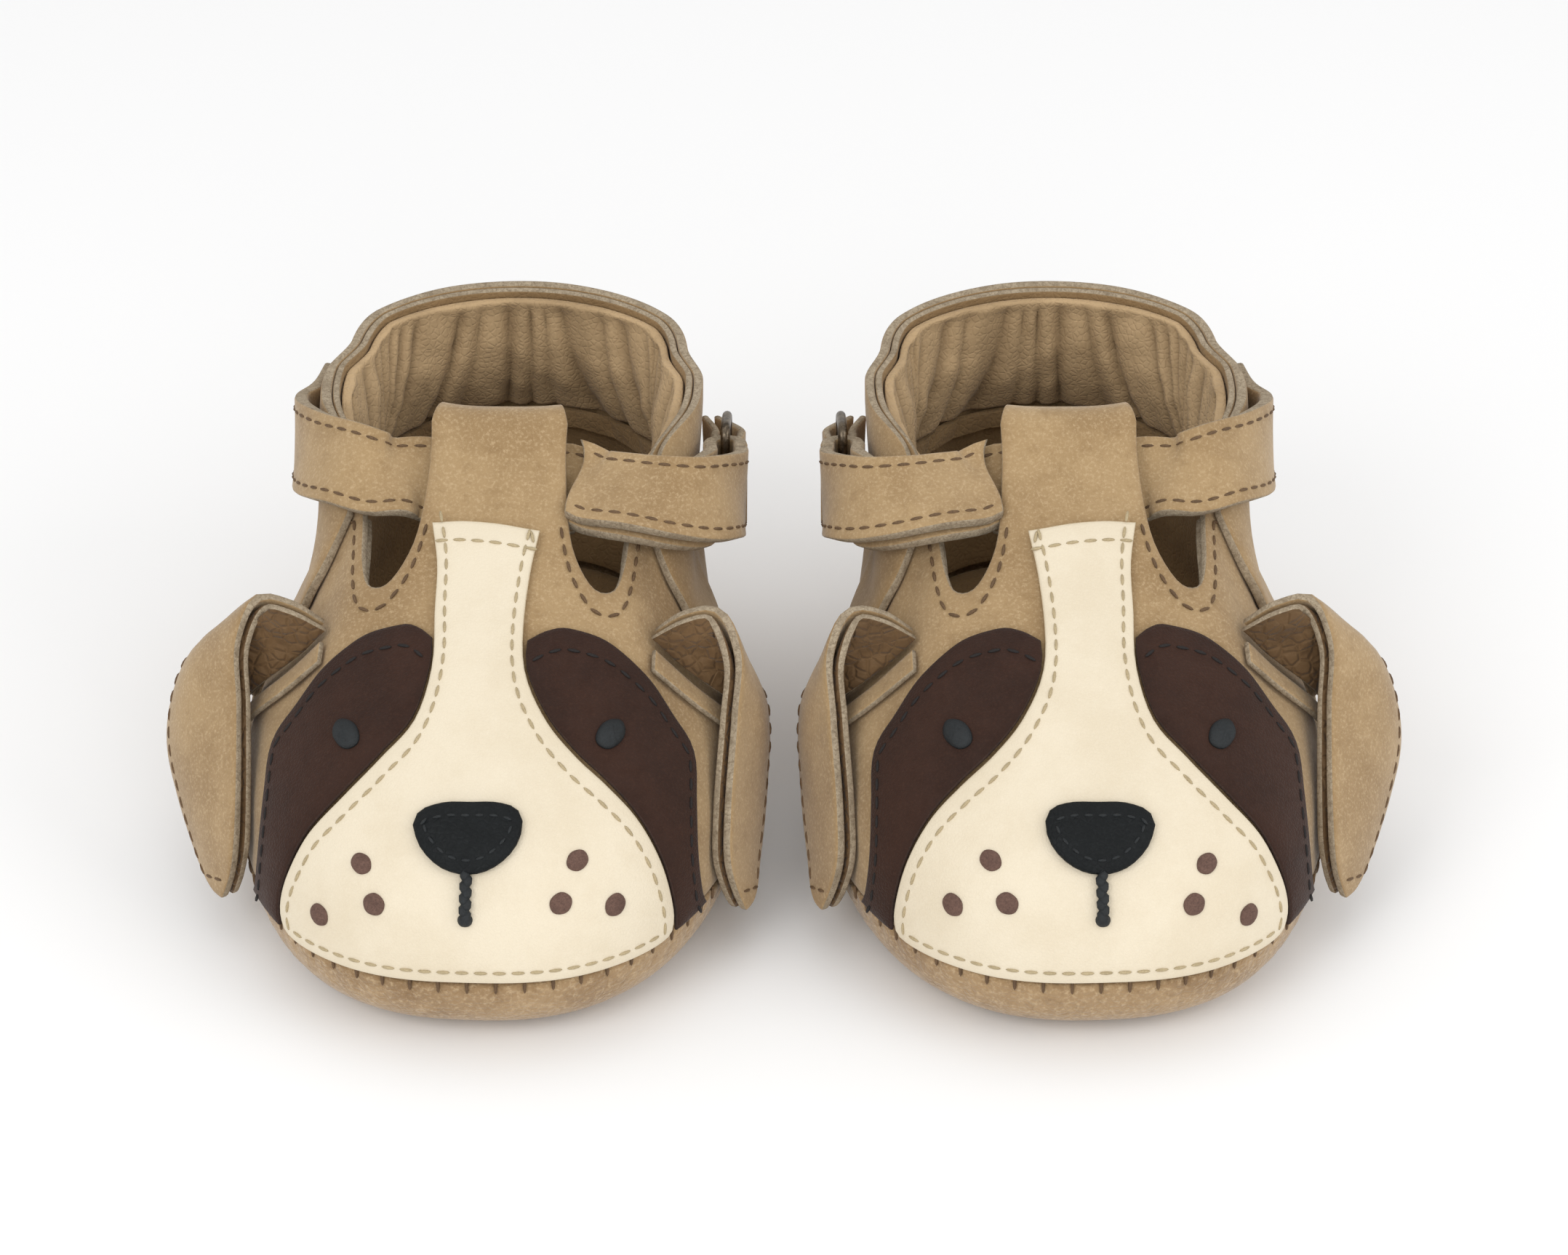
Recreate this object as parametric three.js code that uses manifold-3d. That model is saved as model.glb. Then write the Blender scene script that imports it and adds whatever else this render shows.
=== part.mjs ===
// A pair of baby booties with an animal face: soft sole, wrapped toe, T-bar loop,
// closed heel with a padded collar, two floppy ears and a buckled instep strap.
// Millimetres, +Z up, toes towards -Y, +X to the right of someone facing the toes.

import * as THREE from 'three';
import { mergeVertices } from 'three/addons/utils/BufferGeometryUtils.js';
import { TessellateModifier } from 'three/addons/modifiers/TessellateModifier.js';
import { ParametricGeometry } from 'three/addons/geometries/ParametricGeometry.js';
import Module from 'manifold-3d';

const wasm = await Module();
wasm.setup();

// ---------- driving dimensions ----------
const SIZE = 1;                 // overall size factor; 1 is a 105 mm long bootie
const FOOT_SPACING = 75.2;      // between the two middles
const TOE_OUT = 2.4;            // degrees each bootie is turned outwards
const LEATHER = 1.3;            // upper leather
const LINING = 1.0;             // lining leather
const SOLE = 1.5;               // suede sole leather
const TRIM = 0.9;               // appliqué leather of the face
const GAP = 0.35;               // clearance between two pieces that lie together
const SEAM = 0.3;               // clearance where two edges butt
const STRAP_WIDTH = 11.4;
const STRAP_THICKNESS = 1.8;
const STRAP_CLEARANCE = 0.4;    // strap to loop, ring and quarter
const COLLAR_PAD = 2.8;
const COLLAR_HEIGHT = 17;
const RING_HEIGHT = 16;
const RING_LENGTH = 8.4;
const RING_WIRE = 1.3;
const RING_TILT = 14;           // degrees, square to the falling strap
const EAR_LEATHER = 1.2;
const EAR_LINING = 1.1;
const EAR_GAP = 0.27;           // half the clearance between an ear's two layers
const FOLD_HEIGHT = 57;         // where the T-bar leather turns back
const LOOP_CLEARANCE = 1;       // strap to the T-bar leather round it
const LOOP_RADIUS = STRAP_THICKNESS / 2 + LOOP_CLEARANCE + LEATHER / 2;
const LOOP_TAIL = 11;           // how far the turned leather comes back down
const DEGREE_MM = 0.7;          // pattern width of one degree round the last
const MESH = 7;                 // cell of the grid that all the large panels share
const FINE = 3.2;               // longest edge on the small ones

// ---------- the last ----------
// Height, toe end, heel end, half width at the toe, half width at the heel, squareness.
const LAST = [
  [0, -46.5, 46.0, 27.5, 23.0, 2.5],
  [2, -50.3, 49.5, 30.8, 26.0, 2.5],
  [5, -52.8, 51.5, 32.8, 27.4, 2.5],
  [10, -53.8, 52.8, 34.0, 28.0, 2.5],
  [18, -51.5, 53.2, 33.6, 27.8, 2.5],
  [24, -46.5, 53.0, 32.4, 27.2, 2.45],
  [28, -41.0, 52.6, 31.4, 26.8, 2.4],
  [32, -34.0, 52.2, 30.0, 26.5, 2.35],
  [36, -26.5, 51.8, 28.8, 26.4, 2.3],
  [40, -18.0, 51.3, 27.8, 26.5, 2.25],
  [44, -9.5, 50.6, 27.4, 26.8, 2.2],
  [48, -2.5, 50.0, 27.2, 27.0, 2.1],
  [52, 3.0, 49.4, 27.0, 27.0, 2.05],
  [58, 8.5, 48.0, 26.5, 26.5, 2.0],
];

const smooth = (low, high, x) => THREE.MathUtils.smoothstep(x, low, high);
const radians = THREE.MathUtils.degToRad;

function section(z) {
  const top = LAST.length - 1;
  let row = 0;
  while (row < top - 1 && LAST[row + 1][0] < z) row += 1;
  const slope = (i, k) => {
    const a = Math.max(i - 1, 0);
    const b = Math.min(i + 1, top);
    return (LAST[b][k] - LAST[a][k]) / (LAST[b][0] - LAST[a][0]);
  };
  const span = LAST[row + 1][0] - LAST[row][0];
  const s = (z - LAST[row][0]) / span;
  const h = [2 * s ** 3 - 3 * s ** 2 + 1, s ** 3 - 2 * s ** 2 + s, 3 * s ** 2 - 2 * s ** 3, s ** 3 - s ** 2];
  return [1, 2, 3, 4, 5].map((k) => h[0] * LAST[row][k] + h[1] * span * slope(row, k)
    + h[2] * LAST[row + 1][k] + h[3] * span * slope(row + 1, k));
}

// How far the strap draws the upper in at its own height.
function drawnIn(degrees, z) {
  const a = Math.abs(degrees > 180 ? 360 - degrees : degrees);
  return 2.8 * smooth(28, 48, a) * (1 - smooth(100, 128, a)) * smooth(25, 34, z);
}

// A point of the last: degrees round from the toe towards +X, and height.
function lastPoint(degrees, z) {
  const [front, rear, toe, heel, power] = section(z);
  const middle = (front + rear) / 2;
  const half = (rear - front) / 2;
  const sin = Math.sin(radians(degrees));
  const cos = Math.cos(radians(degrees));
  let radius = half;
  for (let pass = 0; pass < 3; pass += 1) {
    const y = middle - radius * cos;
    const width = toe + (heel - toe) * smooth(-18, 12, y);
    const power1 = Math.abs(cos / half) ** power + Math.abs(sin / width) ** power;
    radius = power1 ** (-1 / power);
  }
  radius -= drawnIn(degrees, z);
  return new THREE.Vector3(radius * sin, middle - radius * cos, z);
}

// Tangents and outward normal of the last.
function lastFrame(degrees, z) {
  const point = lastPoint(degrees, z);
  const round = lastPoint(degrees + 1, z).sub(lastPoint(degrees - 1, z)).divideScalar(2);
  const up = lastPoint(degrees, z + 0.5).sub(lastPoint(degrees, z - 0.5));
  const normal = new THREE.Vector3().crossVectors(round, up).normalize();
  return { point, round, up, normal };
}

function onLast(degrees, z, off) {
  const { point, normal } = lastFrame(degrees, z);
  return point.addScaledVector(normal, off);
}

// Height of the seam between sole and upper.
function seamHeight(degrees) {
  const a = Math.abs(degrees > 180 ? 360 - degrees : degrees);
  return 10.6 - 1.8 * smooth(25, 70, a) - 1.0 * smooth(80, 150, a);
}

// ---------- making solids ----------
// Outward-facing, joined-up copy of a closed surface.
function closed(geometry) {
  const bare = geometry.clone();
  bare.deleteAttribute('uv');
  bare.deleteAttribute('normal');
  const merged = mergeVertices(bare, 1e-3);
  const position = merged.getAttribute('position');
  const kept = [];
  const [a, b, c] = [new THREE.Vector3(), new THREE.Vector3(), new THREE.Vector3()];
  let volume = 0;
  for (let i = 0; i < merged.index.count; i += 3) {
    const ids = [0, 1, 2].map((k) => merged.index.getX(i + k));
    if (ids[0] === ids[1] || ids[1] === ids[2] || ids[0] === ids[2]) continue;
    kept.push(...ids);
    a.fromBufferAttribute(position, ids[0]);
    b.fromBufferAttribute(position, ids[1]);
    c.fromBufferAttribute(position, ids[2]);
    volume += a.dot(b.cross(c)) / 6;
  }
  if (volume < 0) kept.reverse();
  merged.setIndex(kept);
  merged.computeVertexNormals();
  return merged;
}

function solid(geometry) {
  const body = closed(geometry);
  return new wasm.Manifold(new wasm.Mesh({
    numProp: 3,
    vertProperties: new Float32Array(body.getAttribute('position').array),
    triVerts: new Uint32Array(body.index.array),
  }));
}

function geometryOf(manifold) {
  const mesh = manifold.getMesh();
  const geometry = new THREE.BufferGeometry();
  geometry.setAttribute('position', new THREE.BufferAttribute(new Float32Array(mesh.vertProperties), 3));
  geometry.setIndex(new THREE.BufferAttribute(new Uint32Array(mesh.triVerts), 1));
  return geometry;
}

const join = (body, ...more) => geometryOf(more.reduce((rest, part) => rest.add(solid(part)), solid(body)));

// A flat outline from runs of points: smooth along a run, a corner between runs.
function outline(runs) {
  const shape = new THREE.Shape();
  shape.moveTo(...runs[0][0]);
  runs.forEach((run, i) => {
    const next = runs[(i + 1) % runs.length][0];
    const points = [...run.slice(1), next].map((p) => new THREE.Vector2(...p));
    shape.splineThru(points);
  });
  return shape;
}

// Leather cut to a flat outline, then bent by place(u, v, w); w runs 0 to 1 through it.
function bent(shape, edge, place, segments = 2) {
  const flat = new THREE.ExtrudeGeometry(shape, { depth: 1, bevelEnabled: false, curveSegments: segments });
  const fine = new TessellateModifier(edge, 12).modify(flat);
  const position = fine.getAttribute('position');
  for (let i = 0; i < position.count; i += 1) {
    const point = place(position.getX(i), position.getY(i), position.getZ(i));
    position.setXYZ(i, point.x, point.y, point.z);
  }
  return fine;
}

// Pattern points are [degrees round, height]; offsets are from the last, inside to outside.
const pattern = (points) => points.map(([degrees, z]) => [degrees * DEGREE_MM, z]);

// A rectangular sheet of even cells, bent by place(u, v, w); both its faces are split alike,
// so two sheets laid over each other stay parallel.
function sheet(width, length, columns, rows, place) {
  const flat = new THREE.PlaneGeometry(width, length, columns, rows);
  const position = flat.getAttribute('position');
  const count = position.count;
  const points = [];
  for (const w of [0, 1]) {
    for (let i = 0; i < count; i += 1) {
      points.push(place(position.getX(i), position.getY(i) + length / 2, w));
    }
  }
  const face = [...flat.index.array];
  const back = face.toReversed();
  const id = (column, row) => row * (columns + 1) + column;
  const rim = [
    ...Array.from({ length: columns }, (_, i) => id(i, rows)),
    ...Array.from({ length: rows }, (_, i) => id(columns, rows - i)),
    ...Array.from({ length: columns }, (_, i) => id(columns - i, 0)),
    ...Array.from({ length: rows }, (_, i) => id(0, i)),
  ];
  const wall = rim.flatMap((a, i) => {
    const b = rim[(i + 1) % rim.length];
    return [a, b, b + count, a, b + count, a + count];
  });
  const geometry = new THREE.BufferGeometry().setFromPoints(points);
  geometry.setIndex([...back, ...face.map((i) => i + count), ...wall]);
  return geometry;
}

// Leather of a given outline on the last: an even sheet trimmed by the outline's own wall.
function trimmed(runs, edge, place) {
  const shape = outline(runs.map(pattern));
  const box = new THREE.Box2().setFromPoints(shape.getPoints(2)).expandByScalar(0.2);
  box.min.divideScalar(edge).floor().multiplyScalar(edge);
  box.max.divideScalar(edge).ceil().multiplyScalar(edge);
  const size = box.getSize(new THREE.Vector2());
  const centre = (box.min.x + box.max.x) / 2;
  const [columns, rows] = [Math.round(size.x / edge), Math.round(size.y / edge)];
  const blank = sheet(size.x, size.y, columns, rows, (u, v, w) => place(u + centre, v + box.min.y, w));
  const wall = bent(shape, edge * 1.5, (u, v, w) => place(u, v, w * 5 - 2), 1);
  return geometryOf(solid(blank).intersect(solid(wall)));
}

function panel(runs, inner, outer, edge = MESH) {
  const offset = (o, degrees, z) => (typeof o === 'function' ? o(degrees, z) : o);
  return trimmed(runs, edge, (u, v, w) => {
    const degrees = u / DEGREE_MM;
    const low = offset(inner, degrees, v);
    const high = offset(outer, degrees, v);
    return onLast(degrees, v, low + (high - low) * w);
  });
}

// A small piece of given outline on the last, with no grid of its own.
const small = (runs, inner, outer) => bent(outline(runs.map(pattern)), FINE, (u, v, w) => (
  onLast(u / DEGREE_MM, v, inner + (outer - inner) * w)), 1);

// A strip round the last between two lines of [degrees, height], a cell every ten degrees or so.
function strip(low, high, inner, outer, rows) {
  const line = (points) => new THREE.SplineCurve(points.map((p) => new THREE.Vector2(...p)));
  const [below, above] = [line(low), line(high)];
  const columns = Math.round((low.at(-1)[0] - low[0][0]) / 10);
  return sheet(1, 1, columns, rows, (u, v, w) => {
    const foot = below.getPointAt(u + 0.5);
    const head = above.getPointAt(u + 0.5);
    const point = foot.lerp(head, v);
    const [near, far] = [inner(point.x, point.y), outer(point.x, point.y)];
    return onLast(point.x, point.y, near + (far - near) * w);
  });
}

// A small shape in millimetres laid on the last at one spot.
function badge(shape, degrees, z, inner, outer, edge = FINE) {
  const { round, up } = lastFrame(degrees, z);
  return bent(shape, edge, (u, v, w) => onLast(
    degrees + u / round.length(), z + v / up.length(), inner + (outer - inner) * w), 4);
}

// A closed body from a list of rings, each a function of degrees round the last.
function rings(list, slices) {
  return new ParametricGeometry((u, v, target) => {
    const row = Math.round(v * (list.length - 1));
    target.copy(list[row]((u * 360) % 360));
  }, slices, list.length - 1);
}

// The last's plan at one height, drawn in by a plain horizontal inset.
const inset = (z, distance) => (degrees) => {
  const height = typeof z === 'function' ? z(degrees) : z;
  const point = lastPoint(degrees, height);
  const shift = distance / Math.hypot(Math.sin(radians(degrees)), Math.cos(radians(degrees)));
  point.x -= shift * Math.sin(radians(degrees));
  point.y += shift * Math.cos(radians(degrees));
  return point;
};
const middle = (z) => () => new THREE.Vector3(0, 0, z);
const halfway = (z, distance) => (degrees) => inset(z, distance)(degrees).multiply(new THREE.Vector3(0.5, 0.5, 1));
const plate = (low, high, distance, slices) => rings([middle(low), halfway(low, distance), inset(low, distance),
  inset(high, distance), halfway(high, distance), middle(high)], slices);

// The line through a list of stations; each has a centre and the way the outer face looks.
function lineOf(stations) {
  const centre = new THREE.CatmullRomCurve3(stations.map((s) => s.centre), false, 'centripetal');
  const facing = new THREE.CatmullRomCurve3(stations.map((s) => s.facing), false, 'centripetal');
  centre.arcLengthDivisions = 400;
  return { centre, facing, length: centre.getLength() };
}

// A band along part of a line, lifted off it by a distance that may change along the way.
function band(line, width, thickness, edge, from = 0, to = 1, lift = () => 0) {
  const rows = Math.ceil((line.length * (to - from)) / edge);
  return sheet(width, 1, 2, rows, (v, u, w) => {
    const share = from + (to - from) * THREE.MathUtils.clamp(u, 0, 1);
    const tangent = line.centre.getTangentAt(share);
    const side = line.facing.getPoint(line.centre.getUtoTmapping(share)).cross(tangent).normalize();
    const out = new THREE.Vector3().crossVectors(tangent, side);
    const off = (w - 0.5) * thickness + lift(share);
    return line.centre.getPointAt(share).addScaledVector(side, v).addScaledVector(out, off);
  });
}

// The share of a line's length nearest to a point.
function shareNear(line, point) {
  const shares = Array.from({ length: 401 }, (_, i) => i / 400);
  const gap = (share) => line.centre.getPointAt(share).distanceTo(point);
  return shares.reduce((best, share) => (gap(share) < gap(best) ? share : best));
}

// A station standing off the last, its centre at the given height.
const station = (degrees, height, off) => {
  const lower = height - lastFrame(degrees, height).normal.z * off;
  const { point, normal } = lastFrame(degrees, height - lastFrame(degrees, lower).normal.z * off);
  return { centre: point.addScaledVector(normal, off), facing: normal };
};

// ---------- layers, as offsets from the last ----------
const turn = (degrees) => Math.abs(degrees > 180 ? 360 - degrees : degrees);
const inSole = (z) => -0.6 * (1 - smooth(9, 13, z));
const overlap = (degrees) => 1 - smooth(96, 112, turn(degrees));
const LAP = LEATHER + GAP;
const quarterInner = (degrees) => -LEATHER + LAP * overlap(degrees);
const quarterOuter = (degrees) => quarterInner(degrees) + LEATHER;
const quarterLiningOuter = (degrees, z) => quarterInner(degrees) - GAP + inSole(z) * 1.2
  - LAP * overlap(degrees) * (1 - smooth(9, 13, z));
const quarterLiningInner = (degrees, z) => quarterLiningOuter(degrees, z) - LINING;
const collarOuter = (degrees) => quarterLiningInner(degrees, 40) - GAP - 0.15;
const collarInner = (degrees, z) => collarOuter(degrees)
  - COLLAR_PAD * (0.35 + 0.65 * Math.sin(Math.PI * THREE.MathUtils.clamp((z - 33) / COLLAR_HEIGHT, 0, 1)));

// ---------- patterns: [degrees round, height] ----------
const mirrored = (run) => run.map(([degrees, z]) => [-degrees, z]).reverse();
const around = (run) => run.map(([degrees, z]) => [360 - degrees, z]).reverse();
const shifted = (run, degrees, z) => run.map((p) => [p[0] + degrees, p[1] + z]);
const seamRun = (from, to, lift) => {
  const count = Math.round(Math.abs(to - from) / 16);
  return Array.from({ length: count }, (_, i) => {
    const degrees = from + ((to - from) * i) / count;
    return [degrees, seamHeight(degrees) + lift];
  });
};

const VAMP_BACK = [[82, 26], [74, 34], [62, 40.5], [52, 43.8]];
const WING_TIP = [44.5, 45.4];
const CUT_OUT = [[39, 43.9], [34.5, 42.4], [30, 41.4], [25, 42], [21.2, 44.3], [19.8, 47], [21, 52]];
const TAB_FOLD = [23.4, FOLD_HEIGHT];
const at = (degrees) => [degrees, seamHeight(degrees) + SEAM];

const vampRuns = [
  seamRun(-82, 82, SEAM), [at(82), ...VAMP_BACK], [WING_TIP, ...CUT_OUT], [TAB_FOLD],
  mirrored([...CUT_OUT, TAB_FOLD]), mirrored([...VAMP_BACK, WING_TIP]),
];
const liningRuns = [
  [[-81, 5.2], [-40, 5.2], [0, 5.2], [40, 5.2]], [[81, 5.2], ...shifted(VAMP_BACK, -1, -1)],
  shifted([WING_TIP, ...CUT_OUT.slice(0, 5)], 0, -1), [[20, 46]],
  [[-20, 46], ...mirrored(shifted(CUT_OUT.slice(0, 5), 0, -1))],
  mirrored(shifted([...VAMP_BACK, WING_TIP], -1, -1)).map((p, i) => (i === 0 ? [p[0] - 1, p[1]] : p)),
];

const TOP_LINE = [[51, 46.1], [58, 49.1], [68, 50.2], [85, 50.4], [110, 51.2], [140, 52.4]];
const QUARTER_FRONT = [[78, 13], [74, 20], [67, 28], [57, 34.4], [50.8, 38.2], [47, 42]];
const QUARTER_TIP = [45.4, 44];
const topLine = [...TOP_LINE, [180, 52.8], ...around(TOP_LINE)];
const quarterRuns = [
  [at(78), ...QUARTER_FRONT.slice(1)], [QUARTER_TIP, ...topLine], [around([QUARTER_TIP])[0],
    ...around(QUARTER_FRONT.slice(1))], seamRun(282, 78, SEAM),
].map((run) => [...run]);

const backOf = (run) => shifted(run, 1.6, 1.4);
const quarterLiningRuns = [
  [[83.8, 5.2], [83.8, 16], ...backOf(VAMP_BACK)], [[51, 47.6], [58, 49.5], ...topLine.slice(2, -2), [302, 49.5]],
  [[309, 47.6], ...around(backOf(VAMP_BACK)), [276.2, 16]], [[276.2, 5.2], [240, 5.2], [180, 5.2], [120, 5.2]],
];
const COLLAR_LOW = [[58, 47.2], [85, 42.4], [110, 37.2], [140, 34.2]];
const COLLAR_TOP = [[58, 48.6], [85, 49.6], [110, 50.4], [140, 51.5]];
const collarLow = [...COLLAR_LOW, [180, 33.4], ...around(COLLAR_LOW)];
const collarTop = [...COLLAR_TOP, [180, 52], ...around(COLLAR_TOP)];
const elasticLow = [[100, 36.2], [120, 32.8], [140, 31], [180, 30], [220, 31], [240, 32.8], [260, 36.2]];
const elasticTop = shifted(elasticLow, 0, 2.6);

const muzzleRuns = [
  [[-16.4, 46.6], [-12.9, 43.8], [-11.2, 40.8], [-9.6, 37.4], [-11, 33.8], [-15.6, 30.8], [-20.4, 27.5],
    [-25.2, 23.4], [-28.2, 18.6], [-29.9, 13.6]],
  [[-30.6, 10.9], [-20, 11.1], [0, 11.4], [20, 11.1]],
  [[30.2, 10.9], [30.2, 15], [29, 20.4], [26, 25], [21.6, 28.4], [16.5, 31.2], [12, 33.9], [8.4, 37.2],
    [8.2, 40.2], [9.9, 43.5]],
  [[12.6, 46.3], [2, 46.9], [-8, 47]],
];
const eyePatchRuns = [
  [[8.9, 39.1], [13, 39.6], [18, 39.5], [26, 37.9], [33, 34.5], [38, 30.4], [41, 27], [39, 23.2], [37.2, 18.5],
    [37.4, 13.5]],
  [[38.6, 11.2]],
  [[31.4, 11.2], [31.4, 15], [30.2, 20.4], [27.3, 25], [22.9, 28.4], [17.8, 31.2], [13.2, 33.9], [9.7, 37.2]],
];
const outerPatchRuns = [
  [[-10.9, 39.1], [-14, 39.6], ...eyePatchRuns[0].slice(2).map(([degrees, z]) => [-degrees, z])],
  [[-38.6, 11.2]],
  [[-31.8, 11.2], [-31.1, 13.6], [-29.4, 18.6], [-26.4, 23.4], [-21.6, 27.5], [-16.8, 30.8], [-12.2, 33.8],
    [-10.8, 37.4]],
];

// ---------- ears ----------
const EAR_FRONT = [[25.4, -14.6, 40.6], [29, -14.6, 41.2], [31.6, -17, 36.4], [31.4, -21, 29.4],
  [30.9, -29, 21], [31, -33, 15.4], [32, -33, 10.4], [32.9, -32.6, 7]];
// The rear edge of an ear that hangs free, and of one held in by the other bootie.
const REAR_FREE = [[34.6, -8.8, 25.6], [37, -7.6, 28.4], [39.4, -8, 27.2], [42, -11, 22.4],
  [43.2, -14.5, 18], [41.4, -19.5, 13.6], [38.4, -25.4, 9.4], [34.8, -30.8, 6.8]];
const REAR_HELD = [[33, -9.8, 24.8], [34.3, -10.4, 24.2], [34.9, -12.6, 20.6], [34.9, -16.5, 16.4],
  [34.7, -21, 12.6], [34.3, -26, 9.2], [34.2, -30.8, 6.8]];

// One ear, on the +X side, between two distances from its own middle surface.
function ear(rearEdge, bulge, low, high) {
  const foot = (u) => onLast(38 + 28 * u, 36.6 - 13.6 * u, 0.8);
  const through = (start, points) => new THREE.CatmullRomCurve3(
    [start, ...points.map((p) => new THREE.Vector3(...p))], false, 'centripetal');
  const front = through(foot(0), EAR_FRONT);
  const rear = through(foot(1), rearEdge);
  const surface = (u, v) => {
    const point = front.getPointAt(v).lerp(rear.getPointAt(v), u);
    const chord = foot(0).lerp(foot(1), u);
    point.addScaledVector(foot(u).sub(chord), (1 - v) ** 4);
    point.x += bulge * Math.sin(Math.PI * u) * Math.sin(Math.PI * v);
    return point;
  };
  return sheet(1, 1, 4, 11, (shifted, v, w) => {
    const u = shifted + 0.5;
    const du = surface(u + 0.01, v).sub(surface(u - 0.01, v));
    const dv = surface(u, Math.min(v + 0.01, 1)).sub(surface(u, Math.max(v - 0.01, 0)));
    const normal = new THREE.Vector3().crossVectors(dv, du).normalize();
    return surface(u, v).addScaledVector(normal, low + (high - low) * w);
  });
}
const freeEar = (low, high) => ear(REAR_FREE, 1.6, low, high).scale(-1, 1, 1);
const heldEar = (low, high) => ear(REAR_HELD, 0.5, low, high);

// The turned strip that the ear is sewn in with, just in front of its foot.
function welt() {
  return sheet(2, 1, 1, 6, (u, v, w) => {
    const [degrees, z] = [38 + 28 * v, 36.6 - 13.6 * v];
    return onLast(degrees - 2.2 + 0.8 * u, z - 1.6 + 0.6 * u, GAP + 0.9 * w);
  });
}

// ---------- strap, ring and chape ----------
const STRAP_OFF = LAP + STRAP_CLEARANCE + STRAP_THICKNESS / 2 + 0.2;
const THREAD_OFF = -(LEATHER + LOOP_CLEARANCE + STRAP_THICKNESS / 2);
const FOLD_RADIUS = RING_WIRE / 2 + STRAP_CLEARANCE + STRAP_THICKNESS / 2 + 0.1;
const ringFrame = lastFrame(93, 41);
const ringAxes = {
  up: new THREE.Vector3(0, 0, 1),
  out: ringFrame.normal.clone().setZ(0).normalize(),
};
ringAxes.along = new THREE.Vector3().crossVectors(ringAxes.up, ringAxes.out).normalize();
ringAxes.along.applyAxisAngle(ringAxes.out, radians(-RING_TILT));
ringAxes.up.applyAxisAngle(ringAxes.out, radians(-RING_TILT));
const ringMiddle = ringFrame.point.clone().addScaledVector(ringAxes.out, STRAP_OFF + FOLD_RADIUS + 0.1);
const barReach = (RING_LENGTH - RING_WIRE) / 2;
const aroundBar = (reach, radius, degrees, slide = 0) => ({
  centre: ringMiddle.clone().addScaledVector(ringAxes.along, reach + slide + radius * Math.sin(radians(degrees)))
    .addScaledVector(ringAxes.out, -radius * Math.cos(radians(degrees))),
  facing: ringAxes.out.clone().multiplyScalar(Math.cos(radians(degrees)))
    .addScaledVector(ringAxes.along, -Math.sin(radians(degrees))),
});

const strapStations = [
  station(-119, 42.6, GAP + STRAP_THICKNESS / 2 + 0.6), station(-108, 43, 3.2), station(-94, 43.7, 4),
  station(-78, 44.8, 4), station(-62, 46.8, 3.9), station(-47, 49, 3.8), station(-36, 49.6, 0.6),
  station(-25, 49.4, THREAD_OFF - 0.3), station(-12, 49, THREAD_OFF), station(0, 48.8, THREAD_OFF),
  station(12, 48.5, THREAD_OFF), station(23, 48.1, THREAD_OFF - 0.4), station(31, 47.8, -1.8),
  station(45, 47, 4), station(56, 45.4, 4.6), aroundBar(-barReach, FOLD_RADIUS, 0, -4),
  ...[0, 45, 90, 135, 180].map((turned) => aroundBar(-barReach, FOLD_RADIUS, turned)),
  aroundBar(-barReach, FOLD_RADIUS, 180, -1.2),
];
const strapLine = lineOf(strapStations);
const tabEdge = shareNear(strapLine, station(35, 47.6, 0.6).centre);
const atBar = shareNear(strapLine, aroundBar(-barReach, FOLD_RADIUS, 0, -1.7).centre);
const tailLift = (share) => {
  const near = STRAP_THICKNESS + 1;
  return near + (2 * FOLD_RADIUS - near) * smooth(0.1, 0.55, (share - tabEdge) / (atBar - tabEdge));
};
const PATCH = 0.4;
const patchLift = (STRAP_THICKNESS + PATCH) / 2 + GAP;
const patchFrom = tabEdge + (atBar - tabEdge) * 0.52;
const patchTo = tabEdge + (atBar - tabEdge) * 0.86;

const CHAPE = 1;
const chapeRadius = RING_WIRE / 2 + GAP + CHAPE / 2 + 0.25;
const chapeTurn = (turned, slide = 0) => {
  const { centre, facing } = aroundBar(barReach, -chapeRadius, turned, slide);
  return { centre, facing: facing.negate() };
};
const facingIn = ({ centre, facing }) => ({ centre, facing: facing.clone().negate() });
const chapeStations = [
  station(122, 38.2, GAP + 0.9), chapeTurn(180, 2.6), chapeTurn(180, 1),
  ...[180, 150, 120, 90, 60, 30, 0].map((turned) => chapeTurn(turned)),
  chapeTurn(0, 1), chapeTurn(0, 2.6), facingIn(station(122, 38.2, GAP + 2.5)),
];

function ring() {
  const frame = (w, h, r) => {
    const path = new THREE.Shape();
    path.moveTo(-w / 2 + r, -h / 2);
    path.lineTo(w / 2 - r, -h / 2);
    path.absarc(w / 2 - r, -h / 2 + r, r, -Math.PI / 2, 0);
    path.absarc(w / 2 - r, h / 2 - r, r, 0, Math.PI / 2);
    path.absarc(-w / 2 + r, h / 2 - r, r, Math.PI / 2, Math.PI);
    path.absarc(-w / 2 + r, -h / 2 + r, r, Math.PI, Math.PI * 1.5);
    return path;
  };
  const shape = frame(RING_LENGTH, RING_HEIGHT, 2);
  shape.holes.push(frame(RING_LENGTH - 2 * RING_WIRE, RING_HEIGHT - 2 * RING_WIRE, 0.8));
  const flat = new THREE.ExtrudeGeometry(shape, { depth: RING_WIRE, bevelEnabled: false, curveSegments: 3 });
  flat.translate(0, 0, -RING_WIRE / 2);
  const placed = new THREE.Matrix4().makeBasis(ringAxes.along, ringAxes.up, ringAxes.out);
  return flat.applyMatrix4(placed.setPosition(ringMiddle));
}

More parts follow.
